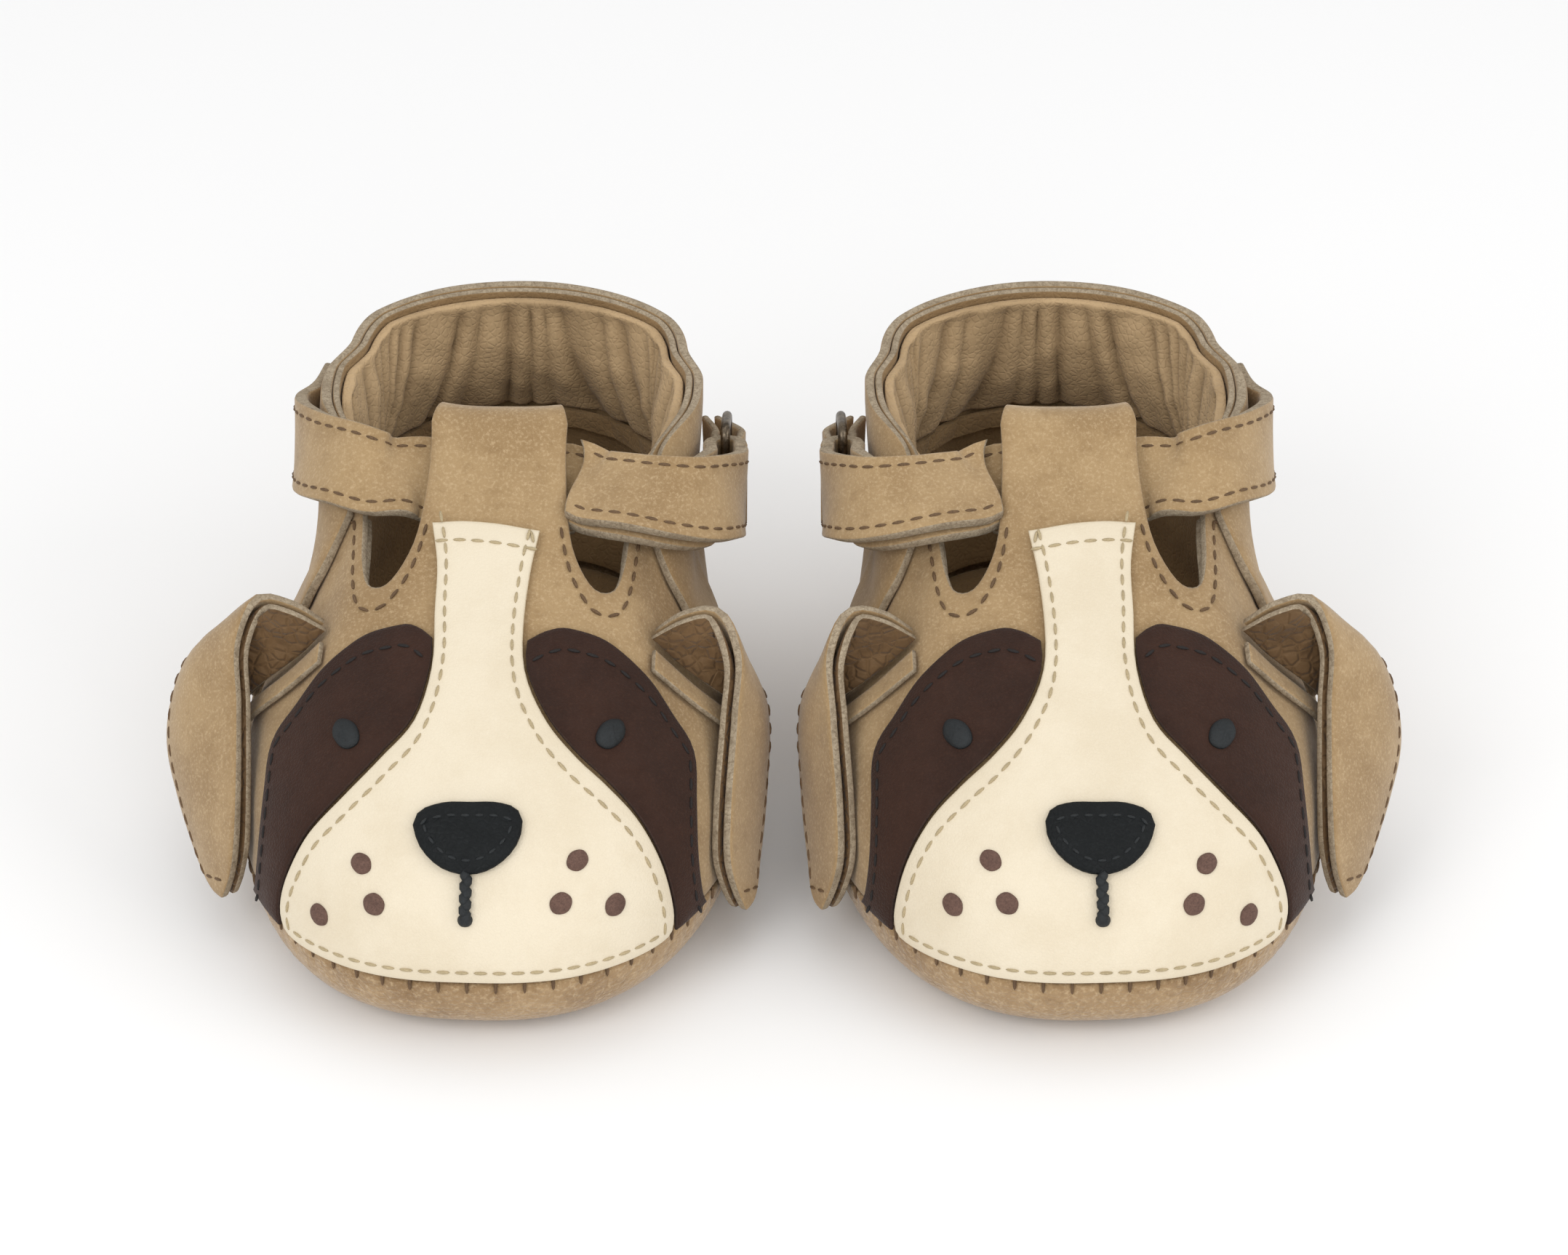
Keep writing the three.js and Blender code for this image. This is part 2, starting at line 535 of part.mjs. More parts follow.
// ---------- the pieces ----------
function outsole() {
  const wall = [0, 1, 2.5, 5].map((z) => inset(z, 0));
  const inside = [5, 2.5, SOLE].map((z) => inset(z, SOLE));
  return rings([middle(0), halfway(0, 0), ...wall, inset(seamHeight, 0), inset(seamHeight, SOLE), ...inside,
    halfway(SOLE, SOLE), middle(SOLE)], 36);
}

// The vamp's leather above the cut-outs runs on as the T-bar, turns back over the strap
// and comes down behind it. The turned end is a narrow sheet joined on at the fold.
function vamp() {
  const half = LEATHER / 2;
  const front = panel(vampRuns, -LEATHER, 0);
  const [wide, high] = [TAB_FOLD[0], TAB_FOLD[1]];
  const length = Math.PI * LOOP_RADIUS + LOOP_TAIL;
  const back = sheet(2, length + 0.3, 4, 16, (u, v, w) => {
    const degrees = u * wide;
    const off = LEATHER * (w - 1);
    const run = Math.max(v - 0.3, 0);
    const turned = run / LOOP_RADIUS;
    if (v < 0.3) return onLast(degrees, high - 0.3, off);
    if (turned > Math.PI) {
      const down = (run - Math.PI * LOOP_RADIUS) * 0.75;
      return onLast(degrees, high - down, -2 * LOOP_RADIUS - LEATHER - off);
    }
    const { point, up, normal } = lastFrame(degrees, high);
    const reach = LOOP_RADIUS + off + half;
    point.addScaledVector(normal, -half - LOOP_RADIUS + reach * Math.cos(turned));
    return point.addScaledVector(up.normalize(), reach * Math.sin(turned));
  });
  return join(front, back);
}

const oval = (rx, ry) => {
  const shape = new THREE.Shape();
  shape.absellipse(0, 0, rx, ry, 0, Math.PI * 2);
  return shape;
};
const face = GAP + TRIM;
const noseRuns = [[[-8.2, 26.5], [-7.4, 27.6], [-4, 28.3], [0, 28.4], [4, 28.4], [7, 27.9], [7.9, 26.7],
  [6.6, 25], [3.4, 23.5], [0, 23], [-3.6, 23.5], [-6.8, 25]]];
const mouthRuns = [[[-1, 22.4], [-1.3, 20.8], [-1.2, 19], [0, 18.4], [1.2, 19], [1.1, 20.8], [1, 22.4], [0, 22.6]]];

const leather = { color: 0xa98b62, roughness: 0.9 };
const suede = { color: 0x9a7c56, roughness: 0.95 };
const lining = { color: 0x8a7150, roughness: 0.75 };
const cream = { color: 0xe6dabd, roughness: 0.6 };
const brown = { color: 0x4a2f25, roughness: 0.75 };
const black = { color: 0x1e2022, roughness: 0.55 };
const metal = { color: 0x4a4238, roughness: 0.4, metalness: 1 };
const foam = { color: 0xd8d0c0, roughness: 0.95 };
const fabric = { color: 0x2e2b28, roughness: 0.95 };

const pieces = {
  outsole: [outsole(), suede],
  midsole: [plate(SOLE + GAP, SOLE + GAP + 2, SOLE + GAP + 0.3, 28), foam],
  sock_liner: [plate(4.2, 5.4, 2.3, 28), lining],
  vamp: [vamp(), leather],
  vamp_lining: [panel(liningRuns, (d, z) => inSole(z) - LAP - LINING, (d, z) => inSole(z) - LAP), lining],
  quarter: [panel(quarterRuns, quarterInner, quarterOuter), leather],
  quarter_lining: [panel(quarterLiningRuns, quarterLiningInner, quarterLiningOuter), lining],
  collar: [strip(collarLow, collarTop, collarInner, collarOuter, 4), lining],
  collar_elastic: [strip(elasticLow, elasticTop, (d) => collarOuter(d) - 1, collarOuter, 1), fabric],
  strap: [band(strapLine, STRAP_WIDTH, STRAP_THICKNESS, 2.2), leather],
  strap_tail: [band(strapLine, STRAP_WIDTH, STRAP_THICKNESS, 2.6, tabEdge, atBar, tailLift), leather],
  loop_patch: [band(strapLine, 8, PATCH, 2.6, patchFrom, patchTo, () => patchLift), fabric],
  hook_patch: [band(strapLine, 8, PATCH, 2.6, patchFrom, patchTo, (s) => tailLift(s) - patchLift), fabric],
  ring: [ring(), metal],
  ring_chape: [band(lineOf(chapeStations), 8.6, CHAPE, 1.2), leather],
  outer_ear: [freeEar(EAR_GAP, EAR_GAP + EAR_LEATHER), leather],
  outer_ear_lining: [freeEar(-EAR_GAP - EAR_LINING, -EAR_GAP), lining],
  outer_ear_welt: [welt().scale(-1, 1, 1), leather],
  inner_ear: [heldEar(EAR_GAP, EAR_GAP + EAR_LEATHER), leather],
  inner_ear_lining: [heldEar(-EAR_GAP - EAR_LINING, -EAR_GAP), lining],
  inner_ear_welt: [welt(), leather],
  muzzle: [panel(muzzleRuns, GAP, face), cream],
  outer_eye_patch: [panel(outerPatchRuns, GAP, face), brown],
  inner_eye_patch: [panel(eyePatchRuns, GAP, face), brown],
  outer_eye: [badge(oval(1.85, 1.7), -22.8, 31.4, face + GAP, face + 1.1), black],
  inner_eye: [badge(oval(1.85, 1.7), 23.2, 31.8, face + GAP, face + 1.1), black],
  nose: [small(noseRuns, face + GAP, face + GAP + 1.2), black],
  mouth: [small(mouthRuns, face + GAP, face + GAP + 0.6), black],
};

// ---------- the pair ----------
// Built as the left one seen from the front, buckle towards the middle; the other is its mirror image.
const group = new THREE.Group();
for (const [side, mirror] of [['left', 1], ['right', -1]]) {
  for (const [name, [geometry, look]] of Object.entries(pieces)) {
    const shape = closed(geometry);
    shape.rotateZ(radians(-TOE_OUT));
    shape.translate(-FOOT_SPACING / 2, 0, 0);
    shape.scale(mirror * SIZE, SIZE, SIZE);
    const mesh = new THREE.Mesh(closed(shape), new THREE.MeshStandardMaterial({ metalness: 0, ...look }));
    mesh.name = `${side}_${name}`;
    group.add(mesh);
  }
}

// Stand the pair on the ground with the middle of its box over the origin.
const box = new THREE.Box3().setFromObject(group);
const toOrigin = box.getCenter(new THREE.Vector3()).setZ(box.min.z).negate();
for (const mesh of group.children) mesh.geometry.translate(toOrigin.x, toOrigin.y, toOrigin.z);

export default group;
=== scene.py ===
"""A pair of soft leather baby booties with an animal face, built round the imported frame."""
import math

import bmesh
import bpy
import numpy as np
from mathutils import Matrix, Vector
from mathutils.geometry import delaunay_2d_cdt


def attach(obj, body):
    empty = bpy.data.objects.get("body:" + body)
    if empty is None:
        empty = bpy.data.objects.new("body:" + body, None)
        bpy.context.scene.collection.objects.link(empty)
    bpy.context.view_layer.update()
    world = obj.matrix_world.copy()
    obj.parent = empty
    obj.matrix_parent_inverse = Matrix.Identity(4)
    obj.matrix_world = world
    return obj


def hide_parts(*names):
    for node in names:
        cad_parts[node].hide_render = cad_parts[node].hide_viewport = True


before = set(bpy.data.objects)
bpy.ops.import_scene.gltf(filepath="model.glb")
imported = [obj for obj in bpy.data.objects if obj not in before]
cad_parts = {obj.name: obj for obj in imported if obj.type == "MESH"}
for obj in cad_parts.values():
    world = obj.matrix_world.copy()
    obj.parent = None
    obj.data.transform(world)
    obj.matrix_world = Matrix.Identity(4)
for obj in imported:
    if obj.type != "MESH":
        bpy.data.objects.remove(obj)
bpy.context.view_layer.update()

bl_info = {
    "name": "Baby Booties",
    "version": (1, 0, 0),
    "blender": (4, 5, 0),
    "location": "View3D > Sidebar > Booties",
    "description": "Makes a pair of soft leather baby booties with an animal face",
    "category": "Add Mesh",
}

# ---------- sizes, in millimetres, as the frame was built ----------
FOOT_SPACING = 75.2
TOE_OUT = 2.4
BOX_SHIFT = 0.644
LEATHER = 1.3
QUARTER_CLOSER = 0.22
LINING = 1.0
SOLE = 1.5
TRIM = 0.9
GAP = 0.35
SEAM = 0.3
STRAP_WIDTH = 11.4
STRAP_THICKNESS = 1.8
STRAP_CLEARANCE = 0.4
PILE = 0.4
PILE_WIDTH = 8
COLLAR_PAD = 2.8
COLLAR_HEIGHT = 17
COLLAR_LENGTH = 118
RING_HEIGHT = 16
RING_LENGTH = 8.4
RING_WIRE = 1.3
RING_TILT = 14
EAR_LEATHER = 1.2
EAR_LINING = 1.1
EAR_GAP = 0.27
EAR_WIDE = 22.0
EAR_LONG = 44.0
FOLD_HEIGHT = 55.5
LOOP_CLEARANCE = 1
LOOP_RADIUS = STRAP_THICKNESS / 2 + LOOP_CLEARANCE + LEATHER / 2
LOOP_TAIL = 11
PUCKERS = 92
DEGREE_MM = 0.7
LAP = LEATHER + GAP
FACE = GAP + TRIM

# ---------- the last ----------
WAIST_DEPTH = 2.8
# Height, toe end, heel end, half width at the toe, half width at the heel, squareness.
LAST = np.array([
    (0, -46.5, 46.0, 27.5, 23.0, 2.5),
    (2, -50.3, 49.5, 30.8, 26.0, 2.5),
    (5, -52.8, 51.5, 32.8, 27.4, 2.5),
    (10, -53.8, 52.8, 34.0, 28.0, 2.5),
    (18, -51.5, 53.2, 33.6, 27.8, 2.5),
    (24, -46.5, 53.0, 32.4, 27.2, 2.45),
    (28, -41.0, 52.6, 31.4, 26.8, 2.4),
    (32, -34.0, 52.2, 30.0, 26.5, 2.35),
    (36, -26.5, 51.8, 28.8, 26.4, 2.3),
    (40, -18.0, 51.3, 27.8, 26.5, 2.25),
    (44, -9.5, 50.6, 27.4, 26.8, 2.2),
    (48, -2.5, 50.0, 27.2, 27.0, 2.1),
    (52, 3.0, 49.4, 27.0, 27.0, 2.05),
    (58, 8.5, 48.0, 26.5, 26.5, 2.0),
])


def smooth(low, high, x):
    t = np.clip((np.asarray(x, float) - low) / (high - low), 0, 1)
    return t * t * (3 - 2 * t)


def unit(v):
    return v / np.maximum(np.linalg.norm(v, axis=-1, keepdims=True), 1e-9)


def turned(degrees):
    """Degrees away from the toe, either way round."""
    return np.abs(np.where(np.asarray(degrees) > 180, 360 - np.asarray(degrees), degrees))


def section(z):
    """Toe end, heel end, half widths and squareness of the last at each height."""
    z = np.asarray(z, float)
    top = len(LAST) - 1
    below = np.maximum(np.arange(top + 1) - 1, 0)
    above = np.minimum(np.arange(top + 1) + 1, top)
    slope = (LAST[above] - LAST[below]) / (LAST[above, :1] - LAST[below, :1])
    row = np.searchsorted(LAST[1:top, 0], z, side="left")
    span = (LAST[row + 1, 0] - LAST[row, 0])[..., None]
    s = (z[..., None] - LAST[row, :1]) / span
    value = ((2 * s**3 - 3 * s**2 + 1) * LAST[row] + (s**3 - 2 * s**2 + s) * span * slope[row]
             + (3 * s**2 - 2 * s**3) * LAST[row + 1] + (s**3 - s**2) * span * slope[row + 1])
    return [value[..., k] for k in range(1, 6)]


def last_point(degrees, z):
    """A point of the last: degrees round from the toe towards +X, and height."""
    degrees, z = np.broadcast_arrays(np.asarray(degrees, float), np.asarray(z, float))
    front, rear, toe, heel, power = section(z)
    middle, half = (front + rear) / 2, (rear - front) / 2
    sin, cos = np.sin(np.radians(degrees)), np.cos(np.radians(degrees))
    radius = half
    for _ in range(3):
        y = middle - radius * cos
        width = toe + (heel - toe) * smooth(-18, 12, y)
        radius = (np.abs(cos / half) ** power + np.abs(sin / width) ** power) ** (-1 / power)
    a = turned(degrees)
    radius = radius - WAIST_DEPTH * smooth(28, 48, a) * (1 - smooth(100, 128, a)) * smooth(25, 34, z)
    return np.stack([radius * sin, middle - radius * cos, z], axis=-1)


def last_frame(degrees, z):
    """Point, step of one degree round, step of a millimetre up, outward normal."""
    degrees, z = np.asarray(degrees, float), np.asarray(z, float)
    around = (last_point(degrees + 1, z) - last_point(degrees - 1, z)) / 2
    up = last_point(degrees, z + 0.5) - last_point(degrees, z - 0.5)
    return last_point(degrees, z), around, up, unit(np.cross(around, up))


def on_last(degrees, z, off):
    point, _, _, normal = last_frame(degrees, z)
    return point + normal * np.asarray(off, float)[..., None]


def seam_height(degrees):
    a = turned(degrees)
    return 10.6 - 1.8 * smooth(25, 70, a) - 1.0 * smooth(80, 150, a)


def in_sole(z):
    return -0.6 * (1 - smooth(9, 13, z))


def overlap(degrees):
    return 1 - smooth(96, 112, turned(degrees))


def quarter_inner(degrees):
    return -LEATHER + LAP * overlap(degrees)


def quarter_lining_outer(degrees, z):
    low = 1 - smooth(9, 13, z)
    return quarter_inner(degrees) - GAP + in_sole(z) * 1.2 - LAP * overlap(degrees) * low


def collar_outer(degrees):
    return quarter_lining_outer(degrees, np.full(np.shape(degrees), 40.0)) - LINING - GAP - 0.15


# ---------- patterns: (degrees round, height) ----------
def mirrored(run):
    return [(-d, z) for d, z in reversed(run)]


def around_heel(run):
    return [(360 - d, z) for d, z in reversed(run)]


def whole_way(run, heel):
    """A run to the heel, its height at the middle of the heel, and the same run on the far side."""
    return [*run, (180, heel), *around_heel(run)]


def shifted(run, degrees, z):
    return [(p[0] + degrees, p[1] + z) for p in run]


def seam_run(start, end, lift):
    count = round(abs(end - start) / 8)
    spots = [start + (end - start) * i / count for i in range(count)]
    return [(d, float(seam_height(d)) + lift) for d in spots]


def at_seam(degrees):
    return (degrees, float(seam_height(degrees)) + SEAM)


VAMP_BACK = [(82, 26), (74, 34), (62, 40.5), (52, 43.8)]
WING_TIP = (44.5, 45.4)
CUT_OUT = [(39, 43.9), (34.5, 42.4), (30, 41.4), (25, 42), (21.6, 44.3), (20.8, 47), (22.2, 52)]
TAB_FOLD = (24.4, FOLD_HEIGHT)
TAB_END = (24.4, FOLD_HEIGHT + math.pi * LOOP_RADIUS + LOOP_TAIL)
VAMP = [
    seam_run(-82, 82, SEAM), [at_seam(82), *VAMP_BACK], [WING_TIP, *CUT_OUT], [TAB_FOLD], [TAB_END],
    mirrored([TAB_FOLD, TAB_END])[:1], mirrored([*CUT_OUT, TAB_FOLD]), mirrored([*VAMP_BACK, WING_TIP]),
]
VAMP_LINING = [
    [(-81, 5.2), (-40, 5.2), (0, 5.2), (40, 5.2)], [(81, 5.2), *shifted(VAMP_BACK, -1, -1)],
    shifted([WING_TIP, *CUT_OUT[:5]], 0, -1), [(20, 46)],
    [(-20, 46), *mirrored(shifted(CUT_OUT[:5], 0, -1))],
    [(-44.5, 44.4), *mirrored(shifted(VAMP_BACK, -1, -1))],
]
TOP_LINE = [(51, 46.1), (58, 49.1), (68, 50.2), (85, 50.4), (110, 51.2), (140, 52.4)]
TOP_ROUND = whole_way(TOP_LINE, 52.8)
QUARTER_FRONT = [(78, 13), (74, 20), (67, 28), (57, 34.4), (50.8, 38.2), (47, 42)]
QUARTER_TIP = (45.4, 44)
QUARTER = [
    [at_seam(78), *QUARTER_FRONT[1:]], [QUARTER_TIP, *TOP_ROUND],
    [(314.6, 44), *around_heel(QUARTER_FRONT[1:])], seam_run(282, 78, SEAM),
]
BACK_EDGE = shifted(VAMP_BACK, 1.6, 1.4)
QUARTER_LINING = [
    [(83.8, 5.2), (83.8, 16), *BACK_EDGE], [(51, 47.6), (58, 49.5), *TOP_ROUND[2:-2], (302, 49.5)],
    [(309, 47.6), *around_heel(BACK_EDGE), (276.2, 16)], [(276.2, 5.2), (240, 5.2), (180, 5.2), (120, 5.2)],
]
COLLAR_LOW = whole_way([(58, 47.2), (85, 42.4), (110, 37.2), (140, 34.2)], 33.4)
COLLAR_TOP = whole_way([(58, 48.6), (85, 49.6), (110, 50.4), (140, 51.5)], 52)
MUZZLE = [
    [(-16.4, 46.6), (-12.9, 43.8), (-11.2, 40.8), (-9.6, 37.4), (-11, 33.8), (-15.6, 30.8), (-20.4, 27.5),
     (-25.2, 23.4), (-28, 18.6), (-29.2, 14.8), (-28.8, 12.2), (-26.6, 11), (-18, 11.1), (0, 11.4),
     (18, 11.1), (28.4, 11), (30.3, 12.3), (30.4, 15.2), (29, 20.4), (26, 25), (21.6, 28.4), (16.5, 31.2),
     (12, 33.9), (8.4, 37.2), (8.2, 40.2), (9.9, 43.5)],
    [(12.6, 46.3), (2, 46.9), (-8, 47)],
]
PATCH_BACK = [(26, 37.9), (33, 34.5), (38, 30.4), (41, 27), (39, 23.2), (37.2, 18.5), (37.4, 13.5)]
INNER_PATCH = [
    [(8.9, 39.1), (13, 39.6), (18, 39.5), *PATCH_BACK],
    [(38.6, 11.2)],
    [(31, 11.2), (30.8, 15.2), (29.4, 20.4), (26.4, 25.1), (22, 28.6), (16.9, 31.4), (12.4, 34.1),
     (8.8, 37.3)],
]
OUTER_PATCH = [
    [(-10.6, 39.1), (-14, 39.6), (-18, 39.5), *[(-d, z) for d, z in PATCH_BACK]],
    [(-38.6, 11.2)],
    [(-29.6, 11.2), (-29.6, 14.8), (-28.4, 18.7), (-25.6, 23.5), (-20.8, 27.7), (-16, 31), (-11.4, 34),
     (-10, 37.4)],
]
NOSE = [[(-8.2, 26.5), (-7.4, 27.6), (-4, 28.3), (0, 28.4), (4, 28.4), (7, 27.9), (7.9, 26.7),
         (6.6, 25), (3.4, 23.5), (0, 23), (-3.6, 23.5), (-6.8, 25)]]
EYES = [(-22.8, 31.4), (23.2, 31.8)]
EYE_HALVES = (2.15, 1.95)
SPOT_HALVES = (1.4, 1.3)
WHISKERS = [(-13.1, -45.5, 22.8), (-18.2, -47.4, 16.5), (-11.3, -49.2, 19.5),
            (13.3, -44.7, 23.5), (11.5, -48.7, 20), (17.8, -46.6, 18.5)]
EAR_FRONT = [(25.4, -14.6, 40.6), (29, -14.6, 41.2), (31.6, -17, 36.4), (31.4, -21, 29.4),
             (30.9, -29, 21), (31, -33, 15.4), (32, -33, 10.4), (32.9, -32.6, 7)]
REAR_FREE = [(34.7, -9.5, 25.5), (37, -8.6, 27.6), (39.4, -8.8, 26.7), (41.6, -11.3, 22.4),
             (42, -14.5, 18), (40.2, -19.5, 13.6), (37.4, -25.4, 9.4), (34.7, -30.8, 6.8)]
REAR_HELD = [(33, -9.8, 24.8), (34.3, -10.4, 24.2), (34.9, -12.6, 20.6), (34.9, -16.5, 16.4),
             (34.7, -21, 12.6), (34.3, -26, 9.2), (34.2, -30.8, 6.8)]


# ---------- lines ----------
def catmull(points, steps, even):
    """A smooth curve through points: evenly weighted on patterns, by distance in space."""
    points = np.asarray(points, float)
    first, last = points[:1], points[-1:]
    if not even:
        first, last = 2 * first - points[1:2], 2 * last - points[-2:-1]
    points = np.concatenate([first, points, last])
    out = []
    for p0, p1, p2, p3 in zip(points, points[1:], points[2:], points[3:]):
        if even:
            t1, t2 = (p2 - p0) / 2, (p3 - p1) / 2
        else:
            d0, d1, d2 = (np.sqrt(np.linalg.norm(b - a)) for a, b in ((p0, p1), (p1, p2), (p2, p3)))
            d1 = d1 if d1 > 1e-4 else 1.0
            d0 = d0 if d0 > 1e-4 else d1
            d2 = d2 if d2 > 1e-4 else d1
            t1 = ((p1 - p0) / d0 - (p2 - p0) / (d0 + d1) + (p2 - p1) / d1) * d1
            t2 = ((p2 - p1) / d1 - (p3 - p1) / (d1 + d2) + (p3 - p2) / d2) * d1
        s = np.linspace(0, 1, steps, endpoint=False)[:, None]
        out.append(p1 + t1 * s + (3 * (p2 - p1) - 2 * t1 - t2) * s**2 + (2 * (p1 - p2) + t1 + t2) * s**3)
    return np.concatenate([*out, points[-2:-1]])


def spaced(points, step):
    """The same line with its points an even step apart."""
    run = np.concatenate([[0], np.cumsum(np.linalg.norm(np.diff(points, axis=0), axis=1))])
    count = max(int(round(run[-1] / step)), 1)
    at = np.linspace(0, run[-1], count + 1)
    return np.stack([np.interp(at, run, points[:, k]) for k in range(points.shape[1])], axis=-1)


def edge_of(run, nxt, step=0.9):
    """One edge of a pattern in flat millimetres, from a run of points to the next run's start."""
    flat = [(d * DEGREE_MM, z) for d, z in [*run, nxt]]
    return spaced(catmull(flat, 12, True), step)


def outline(runs, step=0.9):
    edges = [edge_of(run, runs[(i + 1) % len(runs)][0], step) for i, run in enumerate(runs)]
    return np.concatenate([e[:-1] for e in edges])


def smooth_line(points, step=0.9):
    return spaced(catmull([(d * DEGREE_MM, z) for d, z in points], 12, True), step)


class Line:
    """A line in space with the way its outer face looks, read by share of its length."""

    def __init__(self, stations, steps=40):
        self.centre = catmull([s[0] for s in stations], steps, False)
        self.facing = catmull([s[1] for s in stations], steps, False)
        legs = np.linalg.norm(np.diff(self.centre, axis=0), axis=1)
        self.run = np.concatenate([[0], np.cumsum(legs)])
        self.length = self.run[-1]

    def read(self, values, share):
        return np.stack([np.interp(share * self.length, self.run, values[:, k]) for k in range(3)], axis=-1)

    def at(self, share):
        share = np.clip(share, 0, 1)
        step = 0.25 / self.length
        centre = self.read(self.centre, share)
        tangent = unit(self.read(self.centre, np.clip(share + step, 0, 1))
                       - self.read(self.centre, np.clip(share - step, 0, 1)))
        side = unit(np.cross(self.read(self.facing, share), tangent))
        return centre, tangent, side, np.cross(tangent, side)

    def near(self, point):
        return self.run[np.argmin(np.linalg.norm(self.centre - point, axis=1))] / self.length


def station(degrees, height, off):
    lower = height - last_frame(degrees, height)[3][2] * off
    point, _, _, normal = last_frame(degrees, height - last_frame(degrees, lower)[3][2] * off)
    return point + normal * off, normal


def rounded(corners, bow):
    """Quarter turns of one bow, each from its middle and first angle."""
    return [(x + bow * math.cos(math.radians(a + t)), y + bow * math.sin(math.radians(a + t)))
            for x, y, a in corners for t in range(0, 91, 15)]


def turn_about(vector, axis, degrees):
    return np.array(Matrix.Rotation(math.radians(degrees), 3, Vector(axis)) @ Vector(vector))


# ---------- strap, ring and chape ----------
STRAP_OFF = LAP + STRAP_CLEARANCE + STRAP_THICKNESS / 2 + 0.2
THREAD_OFF = -(LEATHER + LOOP_CLEARANCE + STRAP_THICKNESS / 2)
FOLD_RADIUS = RING_WIRE / 2 + STRAP_CLEARANCE + STRAP_THICKNESS / 2 + 0.1
RING_POINT, _, _, RING_NORMAL = last_frame(93, 41)
RING_OUT = unit(RING_NORMAL * (1, 1, 0))
RING_ALONG = turn_about(np.cross((0, 0, 1), RING_OUT), RING_OUT, -RING_TILT)
RING_UP = turn_about((0, 0, 1), RING_OUT, -RING_TILT)
RING_MIDDLE = RING_POINT + RING_OUT * (STRAP_OFF + FOLD_RADIUS + 0.1)
BAR_REACH = (RING_LENGTH - RING_WIRE) / 2


def around_bar(reach, radius, degrees, slide=0):
    sin, cos = math.sin(math.radians(degrees)), math.cos(math.radians(degrees))
    return (RING_MIDDLE + RING_ALONG * (reach + slide + radius * sin) - RING_OUT * radius * cos,
            RING_OUT * cos - RING_ALONG * sin)


STRAP = Line([
    station(-119, 42.6, GAP + STRAP_THICKNESS / 2 + 0.6), station(-108, 43, 3.2), station(-94, 43.7, 4),
    station(-78, 46, 4), station(-62, 48.4, 3.9), station(-47, 50, 3.6), station(-36, 49.4, 0.7),
    station(-25, 48.1, THREAD_OFF), station(-12, 48, THREAD_OFF), station(0, 48, THREAD_OFF),
    station(12, 48, THREAD_OFF), station(23, 47.8, THREAD_OFF - 0.2), station(31, 47.5, -1.4),
    station(45, 47, 3.8), station(56, 45.4, 4.6), around_bar(-BAR_REACH, FOLD_RADIUS, 0, -4),
    *[around_bar(-BAR_REACH, FOLD_RADIUS, a) for a in (0, 45, 90, 135, 180)],
    around_bar(-BAR_REACH, FOLD_RADIUS, 180, -1.2),
])
TAB_EDGE = STRAP.near(station(35, 47.4, 0.8)[0])
TAIL_START = STRAP.near(station(27.2, 47.7, -2.7)[0])
TAIL_SKEW = 0.3 if STRAP.at(np.array([TAIL_START]))[2][0, 2] > 0 else -0.3
AT_BAR = STRAP.near(around_bar(-BAR_REACH, FOLD_RADIUS, 0, -1.7)[0])
TAIL_NEAR = STRAP_THICKNESS + 1


def tail_lift(share):
    rise = smooth(0.1, 0.55, (share - TAB_EDGE) / (AT_BAR - TAB_EDGE))
    low = smooth(TAIL_START, TAB_EDGE + 0.02, share) - 1
    return TAIL_NEAR + 0.75 * low + (2 * FOLD_RADIUS - TAIL_NEAR) * rise


CHAPE = 1
CHAPE_WIDTH = 8.6
CHAPE_RADIUS = RING_WIRE / 2 + GAP + CHAPE / 2 + 0.25


def chape_turn(degrees, slide=0):
    centre, facing = around_bar(BAR_REACH, -CHAPE_RADIUS, degrees, slide)
    return centre, -facing


CHAPE_END = station(122, 38.2, GAP + 2.5)
CHAPE_LINE = Line([
    station(122, 38.2, GAP + 0.9), chape_turn(180, 2.6), chape_turn(180, 1),
    *[chape_turn(a) for a in (180, 150, 120, 90, 60, 30, 0)],
    chape_turn(0, 1), chape_turn(0, 2.6), (CHAPE_END[0], -CHAPE_END[1]),
])


# ---------- making leather ----------
def inside(points, polygon):
    """Which points lie inside a polygon."""
    x, y = points[:, 0:1], points[:, 1:2]
    x1, y1 = polygon[:, 0], polygon[:, 1]
    x2, y2 = np.roll(x1, -1), np.roll(y1, -1)
    crosses = ((y1 > y) != (y2 > y)) & (x < (x2 - x1) * (y - y1) / np.where(y2 == y1, 1e-9, y2 - y1) + x1)
    return crosses.sum(axis=1) % 2 == 1


def rim_distance(points, polygon):
    """How far each flat point lies from the nearest edge of the polygon."""
    a, b = polygon, np.roll(polygon, -1, axis=0)
    leg = b - a
    share = ((points[:, None] - a) * leg).sum(-1) / np.maximum((leg**2).sum(-1), 1e-12)
    nearest = a + np.clip(share, 0, 1)[..., None] * leg
    return np.linalg.norm(points[:, None] - nearest, axis=-1).min(axis=1)


def near_edge(rim):
    """1 at a cut edge, falling to 0 three millimetres in."""
    return np.clip(1 - rim / 3, 0, 1)


